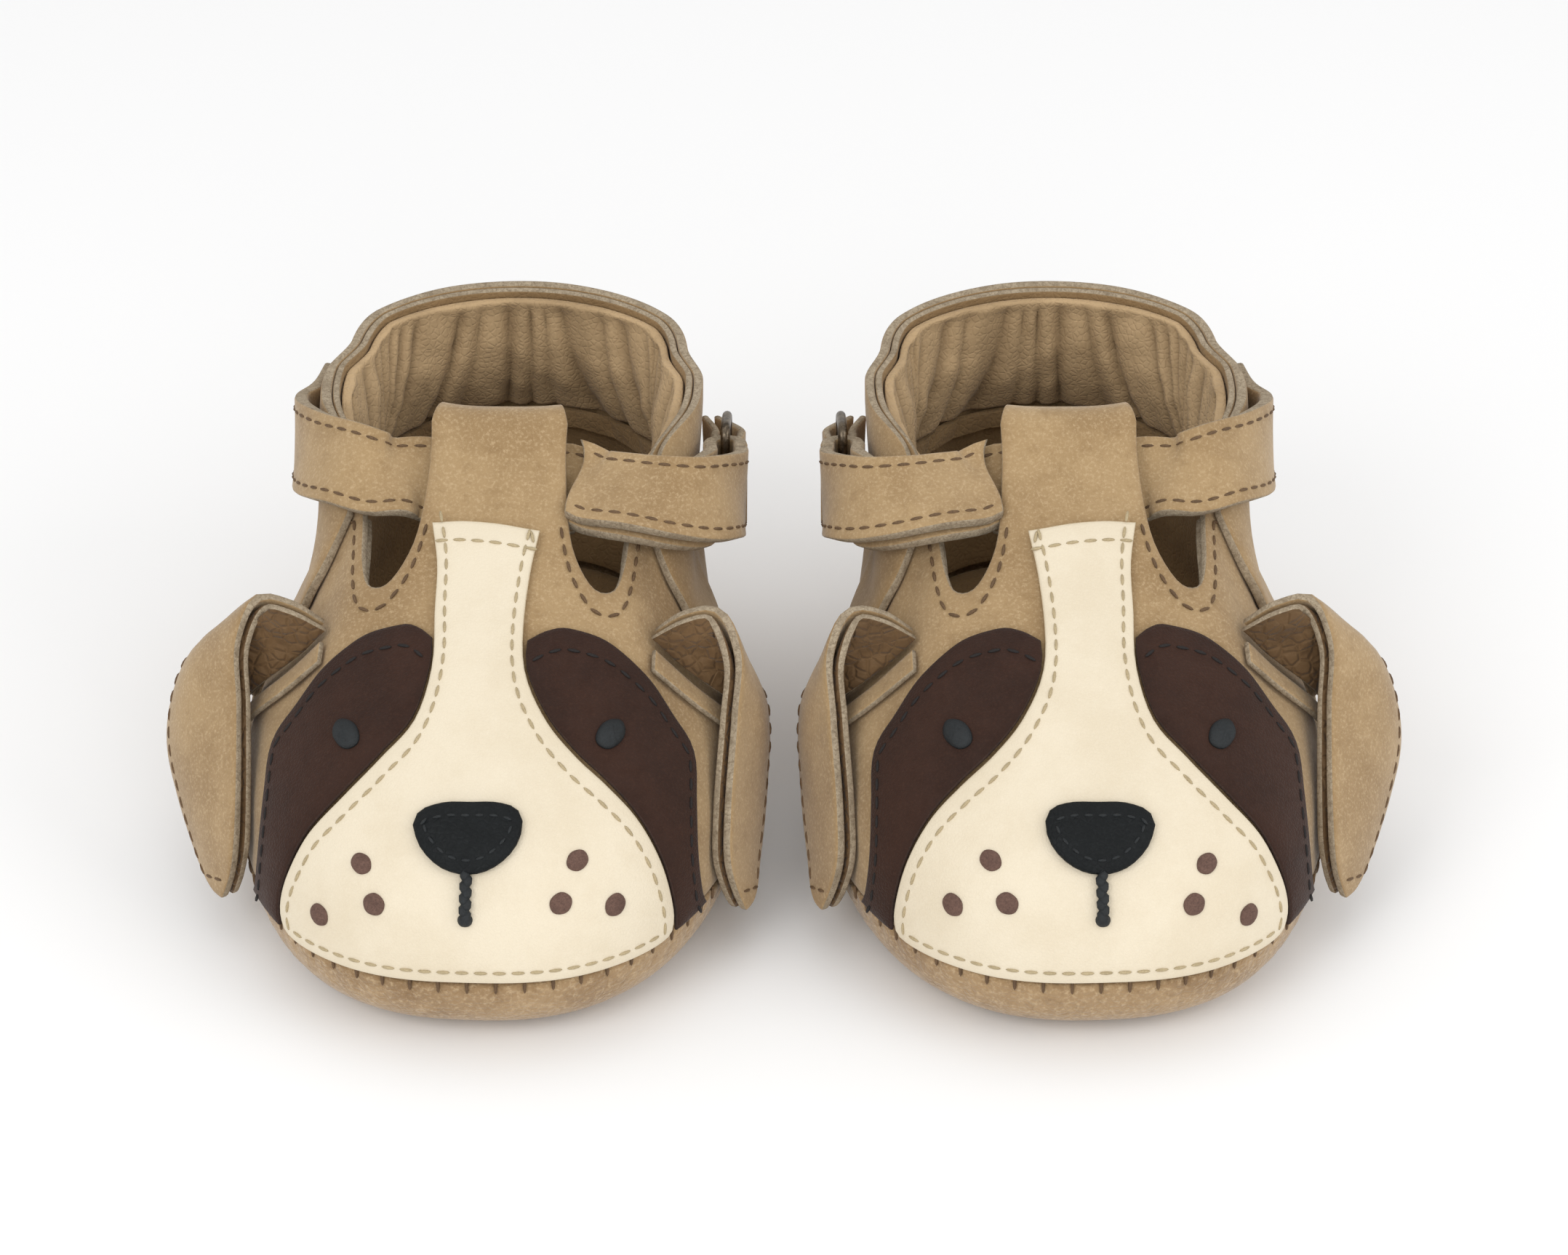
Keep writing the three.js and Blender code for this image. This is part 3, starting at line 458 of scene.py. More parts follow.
def cut_leather(polygon, thickness, rounding=0.32, cell=1.5):
    """Flat leather cut to a polygon in millimetres, its thickness along Z and its edges rounded."""
    low, high = polygon.min(axis=0), polygon.max(axis=0)
    rows = np.arange(low[1], high[1], cell * 0.87)
    lattice = np.array([(x + (i % 2) * cell / 2, y) for i, y in enumerate(rows)
                        for x in np.arange(low[0], high[0], cell)])
    lattice = lattice[inside(lattice, polygon)]
    lattice = lattice[rim_distance(lattice, polygon) > cell * 0.62]
    spots = [Vector(p) for p in np.concatenate([polygon, lattice])]
    count = len(polygon)
    rim = [(i, (i + 1) % count) for i in range(count)]
    spots, _, faces, *_ = delaunay_2d_cdt(spots, rim, [], 1, 1e-4)
    bm = bmesh.new()
    verts = [bm.verts.new((p[0], p[1], 0)) for p in spots]
    for face in faces:
        bm.faces.new([verts[i] for i in face])
    return thicken(bm, thickness, rounding)


def thicken(bm, thickness, rounding):
    """A flat mesh pulled up to a thickness, with its rim edges rounded; walls take the second finish."""
    grown = bmesh.ops.extrude_face_region(bm, geom=bm.faces[:])
    top = [g for g in grown["geom"] if isinstance(g, bmesh.types.BMVert)]
    bmesh.ops.translate(bm, verts=top, vec=(0, 0, thickness))
    bmesh.ops.recalc_face_normals(bm, faces=bm.faces[:])
    flat = {f for f in bm.faces if abs(f.normal.z) > 0.7}
    rim = [e for e in bm.edges
           if len(e.link_faces) == 2 and (e.link_faces[0] in flat) != (e.link_faces[1] in flat)]
    bmesh.ops.bevel(bm, geom=rim, offset=rounding, offset_type="OFFSET", segments=2, profile=0.5,
                    affect="EDGES", clamp_overlap=True, material=-1)
    bm.normal_update()
    for face in bm.faces:
        face.material_index = 0 if abs(face.normal.z) > 0.75 else 1
    return bm


def strip_of(width, length, thickness, cell=1.2, rounding=0.3):
    """A flat rectangle across X and along Y from 0, pulled up to a thickness."""
    bm = bmesh.new()
    across, along = max(round(width / cell), 2), max(round(length / cell), 2)
    bmesh.ops.create_grid(bm, x_segments=across, y_segments=along, size=0.5)
    bmesh.ops.transform(bm, matrix=Matrix.Diagonal((width, length, 1, 1)), verts=bm.verts)
    bmesh.ops.translate(bm, verts=bm.verts, vec=(0, length / 2, 0))
    return thicken(bm, thickness, rounding)


def bend(bm, place):
    """Every point (u, v, w) of a flat piece goes where place says."""
    flat = np.array([v.co for v in bm.verts])
    bent = place(flat[:, 0], flat[:, 1], flat[:, 2])
    for vert, point in zip(bm.verts, bent):
        vert.co = point
    bmesh.ops.recalc_face_normals(bm, faces=bm.faces[:])
    return flat


def wrap(columns, rows, place):
    """A closed surface of even cells; place takes shares round and along, and meeting edges join."""
    bm = bmesh.new()
    bmesh.ops.create_grid(bm, x_segments=columns, y_segments=rows, size=0.5)
    bend(bm, lambda u, v, w: place(u + 0.5, v + 0.5))
    bmesh.ops.remove_doubles(bm, verts=bm.verts, dist=1e-3)
    bmesh.ops.recalc_face_normals(bm, faces=bm.faces[:])
    return bm


def ripple(points, scale, seed=0.0):
    """Soft bumps between -1 and 1 over points in millimetres, the same each run."""
    p = np.asarray(points) * (6.283 / scale)
    a = np.sin(p[:, 0] * 1.0 + 1.7 * np.sin(p[:, 1] * 0.61 + seed) + seed)
    b = np.sin(p[:, 1] * 1.13 + 1.9 * np.sin(p[:, 2] * 0.73 - seed) + 2.1 * seed)
    c = np.sin(p[:, 2] * 0.94 + 1.4 * np.sin(p[:, 0] * 0.83 + 2 * seed) - seed)
    return (a * b + b * c + c * a) / 1.6


# ---------- placing ----------
def both_sides(name, bm, finishes, body="bootie", nodes=(), rim=None):
    """The left piece and its mirror image on the right, riding on their bodies."""
    made = []
    for side, mirror in (("left", 1), ("right", -1)):
        copy = bm.copy()
        place = (Matrix.Diagonal((0.001 * mirror, 0.001, 0.001, 1))
                 @ Matrix.Translation((-FOOT_SPACING / 2, BOX_SHIFT, 0))
                 @ Matrix.Rotation(math.radians(-TOE_OUT), 4, "Z"))
        bmesh.ops.transform(copy, matrix=place, verts=copy.verts)
        if mirror < 0:
            bmesh.ops.reverse_faces(copy, faces=copy.faces[:])
        mesh = bpy.data.meshes.new(f"{side}_{name}")
        copy.to_mesh(mesh)
        copy.free()
        mesh.shade_smooth()
        if rim is not None:
            mesh.attributes.new("rim", "FLOAT", "POINT").data.foreach_set("value", rim.astype(np.float32))
        for finish in finishes:
            mesh.materials.append(material(finish))
        piece = bpy.data.objects.new(f"{side}_{name}", mesh)
        bpy.context.scene.collection.objects.link(piece)
        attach(piece, f"{side}_{body}")
        if nodes:
            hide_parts(*[f"{side}_{node}" for node in nodes])
        made.append(piece)
    bm.free()
    return made


def panel(name, runs, inner, outer, finishes, nodes, thickness, place=on_last, relief=None, cell=1.5):
    """Leather cut to a pattern and bent onto the last between two offsets."""
    polygon = outline(runs)
    bm = cut_leather(polygon, thickness, cell=cell)
    flat = np.array([v.co for v in bm.verts])
    rim = rim_distance(flat[:, :2], polygon)

    def laid(u, v, w):
        degrees = u / DEGREE_MM
        low = inner(degrees, v) if callable(inner) else inner
        high = outer(degrees, v) if callable(outer) else outer
        off = low + (high - low) * w / thickness
        if relief:
            off = off + relief(degrees, v, rim) * np.clip(w / thickness, 0, 1)
        return place(degrees, v, off)

    bend(bm, laid)
    return both_sides(name, bm, finishes, nodes=nodes, rim=near_edge(rim))


def folded_tab(degrees, v, off):
    """The last up to the fold, then round the strap and down behind it."""
    run = np.maximum(v - FOLD_HEIGHT, 0)
    angle = run / LOOP_RADIUS
    point, _, up, normal = last_frame(degrees, np.full(np.shape(v), float(FOLD_HEIGHT)))
    reach = (LOOP_RADIUS + off + LEATHER / 2)[:, None]
    turn = np.minimum(angle, math.pi)[:, None]
    over = (point + normal * (reach * np.cos(turn) - LEATHER / 2 - LOOP_RADIUS)
            + unit(up) * reach * np.sin(turn))
    down = (run - math.pi * LOOP_RADIUS) * 0.75
    behind = on_last(degrees, FOLD_HEIGHT - np.maximum(down, 0), -2 * LOOP_RADIUS - LEATHER - off)
    below = on_last(degrees, np.minimum(v, FOLD_HEIGHT), off)
    return np.where((run <= 0)[:, None], below, np.where((angle > math.pi)[:, None], behind, over))


# ---------- stitching ----------
def add_stitch(bm, point, tangent, normal, length, radius):
    side = np.cross(normal, tangent)
    rows = np.column_stack([side * radius, normal * radius, tangent * length / 2, point])
    bmesh.ops.create_uvsphere(bm, u_segments=6, v_segments=4, radius=1,
                              matrix=Matrix([*rows.tolist(), [0, 0, 0, 1]]))


def stitch_row(bm, points, normals, pitch, length, radius):
    """Stitches an even pitch apart along a line of points."""
    run = np.concatenate([[0], np.cumsum(np.linalg.norm(np.diff(points, axis=0), axis=1))])
    count = max(int(run[-1] / pitch), 1)
    for spot in (np.arange(count) + 0.5) * run[-1] / count:
        here = np.array([np.interp(spot, run, points[:, k]) for k in range(3)])
        ahead = np.array([np.interp(spot + 0.3, run, points[:, k]) for k in range(3)])
        behind = np.array([np.interp(spot - 0.3, run, points[:, k]) for k in range(3)])
        normal = unit(np.array([np.interp(spot, run, normals[:, k]) for k in range(3)]))
        add_stitch(bm, here, unit(ahead - behind), normal, length, radius)


def row_on_last(bm, line, off, inset=1.5, **how):
    """A row of stitches set in from a pattern's edge; line is in flat millimetres."""
    flat = np.asarray(line, float)
    along = unit(np.gradient(flat, axis=0))
    flat = flat + np.stack([-along[:, 1], along[:, 0]], axis=-1) * inset
    keep = np.concatenate([[True], np.linalg.norm(np.diff(flat, axis=0), axis=1) > 0.12])
    flat = flat[keep]
    degrees, z = flat[:, 0] / DEGREE_MM, flat[:, 1]
    points = on_last(degrees, z, np.full(len(z), off))
    normals = unit(on_last(degrees, z, np.full(len(z), off + 0.2)) - points)
    stitch_row(bm, points, normals, **how)


# ---------- finishes ----------
def srgb(*levels):
    """A colour from 0 to 255 levels as linear values."""
    return tuple(((v / 255 + 0.055) / 1.055) ** 2.4 if v > 10 else v / 255 / 12.92 for v in levels)


def node(tree, kind, sockets=None, **settings):
    made = tree.nodes.new(kind)
    for key, value in settings.items():
        setattr(made, key, value)
    for socket, value in (sockets or {}).items():
        if isinstance(value, bpy.types.NodeSocket):
            tree.links.new(value, made.inputs[socket])
        else:
            made.inputs[socket].default_value = value
    return made


def new_group(name, inputs, outputs):
    """A shader node group with named sockets; each is (name, kind, default)."""
    tree = bpy.data.node_groups.new(name, "ShaderNodeTree")
    for label, kind, default in inputs:
        socket = tree.interface.new_socket(name=label, in_out="INPUT", socket_type=f"NodeSocket{kind}")
        socket.default_value = default
    for label, kind in outputs:
        tree.interface.new_socket(name=label, in_out="OUTPUT", socket_type=f"NodeSocket{kind}")
    return tree, node(tree, "NodeGroupInput").outputs, node(tree, "NodeGroupOutput").inputs


def spread(tree, value, low, high, to_low=0.0, to_high=1.0):
    """A value stretched from one range to another, smoothly."""
    return node(tree, "ShaderNodeMapRange", {"Value": value, "From Min": low, "From Max": high,
                                             "To Min": to_low, "To Max": to_high},
                interpolation_type="SMOOTHSTEP").outputs["Result"]


def math_node(tree, operation, a, b):
    return node(tree, "ShaderNodeMath", {0: a, 1: b}, operation=operation).outputs[0]


def blend_colour(tree, factor, a, b):
    made = node(tree, "ShaderNodeMix", data_type="RGBA")
    for socket, value in zip((made.inputs[0], made.inputs[6], made.inputs[7]), (factor, a, b)):
        if isinstance(value, bpy.types.NodeSocket):
            tree.links.new(value, socket)
        else:
            socket.default_value = value
    return made.outputs[2]


def leather_group():
    """Blotches, nap and pores of a leather, darker and rubbed towards its cut edges, and with painted shade
    in the collar's creases, which come in through the same rim attribute.
    """
    if "leather_surface" in bpy.data.node_groups:
        return bpy.data.node_groups["leather_surface"]
    tree, given, out = new_group("leather_surface", [
        ("Color", "Color", (0.5, 0.4, 0.3, 1)), ("Shade", "Color", (0.3, 0.2, 0.1, 1)),
        ("Light", "Color", (0.7, 0.6, 0.5, 1)), ("Blotch", "Float", 0.5), ("Nap", "Float", 0.5),
        ("Nap Scale", "Float", 2200.0), ("Pore Scale", "Float", 1500.0), ("Pore Depth", "Float", 0.4),
        ("Rim Shade", "Float", 0.3), ("Roughness", "Float", 0.8),
    ], [("Color", "Color"), ("Roughness", "Float"), ("Height", "Float")])
    where = node(tree, "ShaderNodeTexCoord").outputs["Object"]
    blotch = node(tree, "ShaderNodeTexNoise",
                  {"Vector": where, "Scale": 85.0, "Detail": 5.0, "Roughness": 0.6})
    nap = node(tree, "ShaderNodeTexNoise", {"Vector": where, "Scale": given["Nap Scale"], "Detail": 3.0,
                                            "Roughness": 0.7})
    fibre = node(tree, "ShaderNodeTexNoise",
                 {"Vector": where, "Scale": 520.0, "Detail": 4.0, "Roughness": 0.65})
    pores = node(tree, "ShaderNodeTexVoronoi", {"Vector": where, "Scale": given["Pore Scale"]},
                 feature="DISTANCE_TO_EDGE")
    dark = math_node(tree, "MULTIPLY", spread(tree, blotch.outputs["Fac"], 0.38, 0.68), given["Blotch"])
    colour = blend_colour(tree, dark, given["Color"], given["Shade"])
    speckle = math_node(tree, "MULTIPLY", spread(tree, nap.outputs["Fac"], 0.45, 0.75), given["Nap"])
    colour = blend_colour(tree, speckle, colour, given["Light"])
    fleck = math_node(tree, "MULTIPLY", spread(tree, fibre.outputs["Fac"], 0.52, 0.72), given["Nap"])
    colour = blend_colour(tree, math_node(tree, "MULTIPLY", fleck, 0.6), colour, given["Shade"])
    # The rim attribute darkens towards Shade: rubbed cut edges on most pieces, and painted shade in the
    # creases on the collar.
    rim = node(tree, "ShaderNodeAttribute", attribute_name="rim").outputs["Fac"]
    rim = math_node(tree, "MULTIPLY", math_node(tree, "POWER", rim, 3.0), given["Rim Shade"])
    colour = blend_colour(tree, rim, colour, given["Shade"])
    pore = spread(tree, pores.outputs["Distance"], 0.0, 0.22)
    pore = math_node(tree, "MULTIPLY", pore, given["Pore Depth"])
    height = math_node(tree, "ADD", pore, math_node(tree, "MULTIPLY", nap.outputs["Fac"], given["Nap"]))
    height = math_node(tree, "ADD", height, math_node(tree, "MULTIPLY", fibre.outputs["Fac"], 0.35))
    rough = spread(tree, fibre.outputs["Fac"], 0.3, 0.7, -0.07, 0.07)
    rough = math_node(tree, "ADD", given["Roughness"], rough)
    for socket, value in (("Color", colour), ("Roughness", rough), ("Height", height)):
        tree.links.new(value, out[socket])
    return tree


def fuzz_group():
    """Loose fibres of a raw edge, pile or twisted thread: light and dark flecks with a rough height."""
    if "fibre_surface" in bpy.data.node_groups:
        return bpy.data.node_groups["fibre_surface"]
    tree, given, out = new_group("fibre_surface", [
        ("Color", "Color", (0.5, 0.4, 0.3, 1)), ("Shade", "Color", (0.2, 0.2, 0.2, 1)),
        ("Fibre Scale", "Float", 2600.0), ("Amount", "Float", 0.6),
    ], [("Color", "Color"), ("Height", "Float")])
    where = node(tree, "ShaderNodeTexCoord").outputs["Object"]
    fine = node(tree, "ShaderNodeTexNoise", {"Vector": where, "Scale": given["Fibre Scale"], "Detail": 4.0,
                                             "Roughness": 0.75, "Distortion": 0.8})
    broad = node(tree, "ShaderNodeTexNoise", {"Vector": where, "Scale": 420.0, "Detail": 3.0})
    mask = math_node(tree, "MULTIPLY", spread(tree, fine.outputs["Fac"], 0.38, 0.66), given["Amount"])
    colour = blend_colour(tree, mask, given["Color"], given["Shade"])
    patch = math_node(tree, "MULTIPLY", spread(tree, broad.outputs["Fac"], 0.45, 0.7), given["Amount"])
    colour = blend_colour(tree, math_node(tree, "MULTIPLY", patch, 0.5), colour, given["Shade"])
    tree.links.new(colour, out["Color"])
    tree.links.new(fine.outputs["Fac"], out["Height"])
    return tree


# Name: colour, shade, light,
#       blotch, nap, nap scale, pore scale, pore depth, rim shade (edge darkening, and painted crease shade
#       on the collar), roughness, bump in mm, sheen.
LEATHERS = {
    "nubuck": ((166, 139, 101), (136, 109, 74), (196, 171, 135),
               0.6, 0.6, 2400, 1900, 0.25, 0.35, 0.86, 0.10, 0.25),
    "sole_suede": ((162, 134, 98), (118, 91, 61), (194, 169, 134),
                   0.55, 0.75, 1500, 900, 0.35, 0.2, 0.95, 0.22, 0.3),
    # pleated_lining: its base colour is raised above the other linings as painted light, offsetting the
    # shade inside the heel; its dark shade and rim shade are painted shade in the pleats' creases.
    "pleated_lining": ((186, 158, 120), (92, 70, 44), (176, 150, 112),
                       0.3, 0.18, 1800, 1100, 0.6, 0.5, 0.66, 0.14, 0.1),
    "soft_lining": ((150, 123, 87), (112, 88, 58), (168, 142, 105),
                    0.5, 0.18, 1800, 1100, 0.6, 0.2, 0.66, 0.12, 0.1),
    # crumpled_lining: darker than the other linings, as painted shade for the shaded insides of the ears.
    "crumpled_lining": ((112, 86, 57), (78, 58, 37), (138, 111, 79),
                        0.6, 0.2, 1500, 620, 1.0, 0.3, 0.6, 0.3, 0.1),
    "cream_leather": ((223, 211, 188), (208, 193, 166), (234, 225, 206),
                      0.4, 0.15, 2400, 2100, 0.5, 0.25, 0.5, 0.05, 0.0),
    "brown_leather": ((54, 32, 22), (37, 21, 14), (74, 47, 34),
                      0.55, 0.3, 2600, 2000, 0.5, 0.35, 0.68, 0.09, 0.1),
    "black_leather": ((19, 22, 23), (11, 13, 14), (38, 41, 43),
                      0.45, 0.25, 2400, 1300, 0.8, 0.1, 0.52, 0.10, 0.0),
}
# Name: colour, shade, fibre scale, amount, roughness, bump mm, metallic
FIBRES = {
    "raw_edge": ((176, 160, 136), (118, 102, 80), 2300, 0.75, 0.97, 0.3, 0),
    "cream_edge": ((222, 206, 176), (190, 172, 140), 2300, 0.5, 0.9, 0.15, 0),
    "brown_edge": ((60, 40, 31), (34, 22, 17), 2300, 0.7, 0.92, 0.2, 0),
    "tan_thread": ((112, 86, 58), (72, 53, 34), 5200, 0.7, 0.75, 0.12, 0),
    "cream_thread": ((190, 172, 136), (150, 134, 102), 5200, 0.6, 0.7, 0.12, 0),
    "brown_thread": ((24, 15, 12), (10, 6, 5), 5200, 0.6, 0.7, 0.12, 0),
    "dot_thread": ((110, 82, 70), (70, 48, 40), 4200, 0.7, 0.8, 0.15, 0),
    "black_thread": ((20, 27, 30), (7, 9, 11), 4200, 0.7, 0.6, 0.15, 0),
    "pile": ((50, 46, 41), (24, 22, 20), 3200, 0.9, 0.98, 0.4, 0),
    "foam": ((214, 205, 190), (186, 176, 158), 1800, 0.5, 0.95, 0.3, 0),
    "antique_metal": ((120, 108, 92), (58, 50, 42), 900, 0.85, 0.36, 0.04, 1),
}


LEATHER_SHINE = 0.16


def leather_finish(made, shader, values):
    colour, shade, light, blotch, nap, nap_scale, pore_scale, pore_depth, rim, rough, bump, sheen = values
    surface = node(made.node_tree, "ShaderNodeGroup", node_tree=leather_group())
    settings = {"Color": (*srgb(*colour), 1), "Shade": (*srgb(*shade), 1), "Light": (*srgb(*light), 1),
                "Blotch": blotch, "Nap": nap, "Nap Scale": nap_scale, "Pore Scale": pore_scale,
                "Pore Depth": pore_depth, "Rim Shade": rim, "Roughness": rough}
    for socket, value in settings.items():
        surface.inputs[socket].default_value = value
    made.node_tree.links.new(surface.outputs["Roughness"], shader.inputs["Roughness"])
    shader.inputs["Sheen Weight"].default_value = sheen
    shader.inputs["Specular IOR Level"].default_value = LEATHER_SHINE
    return surface, bump


def fibre_finish(made, shader, values):
    colour, shade, scale, amount, rough, bump, metallic = values
    surface = node(made.node_tree, "ShaderNodeGroup", node_tree=fuzz_group())
    settings = {"Color": (*srgb(*colour), 1), "Shade": (*srgb(*shade), 1),
                "Fibre Scale": scale, "Amount": amount}
    for socket, value in settings.items():
        surface.inputs[socket].default_value = value
    shader.inputs["Roughness"].default_value = rough
    shader.inputs["Metallic"].default_value = metallic
    return surface, bump


def material(name):
    """The finish of that name, made once."""
    if f"{name}_finish" in bpy.data.materials:
        return bpy.data.materials[f"{name}_finish"]
    made = bpy.data.materials.new(f"{name}_finish")
    made.use_nodes = True
    shader = made.node_tree.nodes["Principled BSDF"]
    finish = leather_finish if name in LEATHERS else fibre_finish
    surface, bump = finish(made, shader, LEATHERS.get(name) or FIBRES[name])
    made.node_tree.links.new(surface.outputs["Color"], shader.inputs["Base Color"])
    relief = node(made.node_tree, "ShaderNodeBump", {"Height": surface.outputs["Height"], "Strength": 0.7,
                                                     "Distance": bump * 0.001})
    made.node_tree.links.new(relief.outputs["Normal"], shader.inputs["Normal"])
    return made


# ---------- settings ----------
class BootieSizes(bpy.types.PropertyGroup):
    """Sizes of the finishing that a maker may change."""

    stitch: bpy.props.FloatProperty(
        name="Stitch", description="Length of one stitch", default=0.00175, min=0.0005, unit="LENGTH")
    pitch: bpy.props.FloatProperty(
        name="Pitch", description="From one stitch to the next", default=0.00235, min=0.001, unit="LENGTH")
    thread: bpy.props.FloatProperty(
        name="Thread", description="Thickness of the thread", default=0.00048, min=0.0001, unit="LENGTH")
    pleat: bpy.props.FloatProperty(
        name="Pleat depth", description="Depth of the folds in the collar", default=0.0017, min=0,
        unit="LENGTH")
    crumple: bpy.props.FloatProperty(
        name="Crumple", description="Unevenness of the ears' lining", default=0.0003, min=0, unit="LENGTH")


class StudioSettings(bpy.types.PropertyGroup):
    """Floor colour and camera place of the studio."""

    floor: bpy.props.FloatVectorProperty(
        name="Floor", description="Colour of the floor", size=3, subtype="COLOR", default=(0.92, 0.92, 0.92))
    distance: bpy.props.FloatProperty(
        name="Distance", description="From the camera to the pair", default=0.6, unit="LENGTH")
    elevation: bpy.props.FloatProperty(
        name="Elevation", description="Camera above the horizon", default=math.radians(35), subtype="ANGLE")


def thread_of(context):
    """Pitch, stitch length and thread radius in millimetres."""
    sizes = context.scene.booties
    return {"pitch": sizes.pitch * 1000, "length": sizes.stitch * 1000, "radius": sizes.thread * 500}


# ---------- pieces ----------
def outward(degrees):
    """The level direction away from the last's middle."""
    turn = np.radians(degrees)
    return np.stack([np.sin(turn), -np.cos(turn), np.zeros(len(degrees))], axis=-1)


def plan_of(z, inset, step=2.0):
    """The last's plan at one height drawn in by an inset."""
    degrees = np.arange(0, 360, step)
    point = last_point(degrees, np.full(len(degrees), float(z)))
    return point[:, :2] - outward(degrees)[:, :2] * inset


def flat_plate(name, z, thickness, inset, finishes, nodes):
    """A flat layer of the last's plan, drawn in by an inset."""
    polygon = plan_of(z, inset)
    bm = cut_leather(polygon, thickness, rounding=0.35, cell=2.6)
    flat = np.array([v.co for v in bm.verts])
    rim = rim_distance(flat[:, :2], polygon)
    bend(bm, lambda u, v, w: np.stack([u, v, z + w], axis=-1))
    return both_sides(name, bm, finishes, nodes=nodes, rim=near_edge(rim))


SOLE_ROWS = [
    ("centre", 0), ("half", 0),
    *[("wall", height) for height in (0.0, 0.5, 1.2, 2.2, 3.4, 4.8, 6.2)],
    *[("top", below) for below in (-1.6, -0.7, -0.15)],
    ("rim", 0.0), ("inner", 0.0),
    *[("in", height) for height in (6, 4, 2.4, SOLE)],
    ("halfin", SOLE), ("centre", SOLE),
]


def sole_point(share, row, pucker):
    """A point of the sole's skin, by share round and row: from the middle below to the middle inside."""
    degrees = (share * 360) % 360
    kind, value = SOLE_ROWS[row]
    seam = seam_height(degrees)
    height = {"top": seam + value, "rim": seam, "inner": seam}.get(kind, np.full(len(degrees), float(value)))
    inset = {"inner": SOLE - 0.2, "in": SOLE, "halfin": SOLE, "rim": 0.45, "top": 0.0}.get(kind, 0.0)
    point = last_point(degrees, height)
    radial = outward(degrees)
    if kind == "centre":
        return point * (0, 0, 1)
    if kind in ("half", "halfin"):
        return (point - radial * inset) * (0.5, 0.5, 1)
    deep = {"top": 1.0 + value * 0.25, "rim": 0.9}.get(kind, 0.25 if kind == "wall" and value > 4 else 0.0)
    fold = np.abs(np.sin(share * math.pi * PUCKERS)) ** 0.7
    return point - radial * (inset + pucker * deep * (1 - fold))[:, None]


class BOOTIES_OT_soles(bpy.types.Operator):
    """Make the suede soles, gathered at the seam, and the insoles"""

    bl_idname = "booties.soles"
    bl_label = "Soles"

    def execute(self, context):
        def laid(u, v):
            rows = np.rint(v * (len(SOLE_ROWS) - 1)).astype(int)
            out = np.zeros((len(u), 3))
            for row in range(len(SOLE_ROWS)):
                picked = rows == row
                out[picked] = sole_point(u[picked], row, 0.4)
            return out

        bm = wrap(6 * PUCKERS, len(SOLE_ROWS) - 1, laid)
        both_sides("sole_suede", bm, ["sole_suede"], nodes=["outsole"])
        flat_plate("insole", 4.2, 1.2, 2.3, ["soft_lining", "raw_edge"], ["sock_liner"])
        for side in ("left", "right"):
            for name, finish in (("midsole", "foam"), ("collar_elastic", "soft_lining")):
                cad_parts[f"{side}_{name}"].data.materials.clear()
                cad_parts[f"{side}_{name}"].data.materials.append(material(finish))
        threads = bmesh.new()
        for i in range(PUCKERS):
            degrees = 360 * i / PUCKERS
            point, _, up, normal = last_frame(degrees, float(seam_height(degrees)) - 0.35)
            add_stitch(threads, point - normal * 0.1, unit(up), normal, 2.3, 0.26)
        both_sides("sole_stitching", threads, ["tan_thread"])
        return {"FINISHED"}


def leather_wave(depth, scale, seed):
    """Slight unevenness of worked leather, for a panel's outer face."""
    def relief(degrees, v, rim):
        points = last_point(degrees, np.minimum(v, 56))
        return depth * (ripple(points, scale, seed) - 1) - 0.12 * (1 - smooth(0, 0.9, rim))
    return relief


class BOOTIES_OT_uppers(bpy.types.Operator):
    """Make the vamp with its T-bar, the heel quarter and their linings"""

    bl_idname = "booties.uppers"
    bl_label = "Uppers"

    def execute(self, context):
        nubuck = ["nubuck", "raw_edge"]
        soft = ["soft_lining", "raw_edge"]
        panel("vamp_leather", VAMP, -LEATHER, 0, nubuck, ["vamp"], LEATHER,
              place=folded_tab, relief=leather_wave(0.1, 26, 0.3))
        panel("vamp_lining_leather", VAMP_LINING, lambda d, z: in_sole(z) - LAP - LINING,
              lambda d, z: in_sole(z) - LAP, soft, ["vamp_lining"], LINING, cell=2.0)
        panel("quarter_leather", QUARTER, lambda d, z: quarter_inner(d) - QUARTER_CLOSER,
              lambda d, z: quarter_inner(d) + LEATHER,
              nubuck, ["quarter"], LEATHER, relief=leather_wave(0.12, 30, 1.1))
        panel("quarter_lining_leather", QUARTER_LINING, lambda d, z: quarter_lining_outer(d, z) - LINING,
              quarter_lining_outer, soft, ["quarter_lining"], LINING, cell=2.0)
        return {"FINISHED"}


def between(low, high):
    """Readers of the two long edges of a strip laid round the last, by share of their length."""
    lines = []
    for points in (low, high):
        line = catmull(points, 24, True)
        run = np.concatenate([[0], np.cumsum(np.linalg.norm(np.diff(line, axis=0), axis=1))])
        lines.append((run / run[-1], line))

    def read(share, up):
        foot, head = (np.stack([np.interp(share, run, line[:, k]) for k in range(2)], axis=-1)
                      for run, line in lines)
        spot = foot + (head - foot) * up[:, None]
        return spot[:, 0], spot[:, 1]
    return read


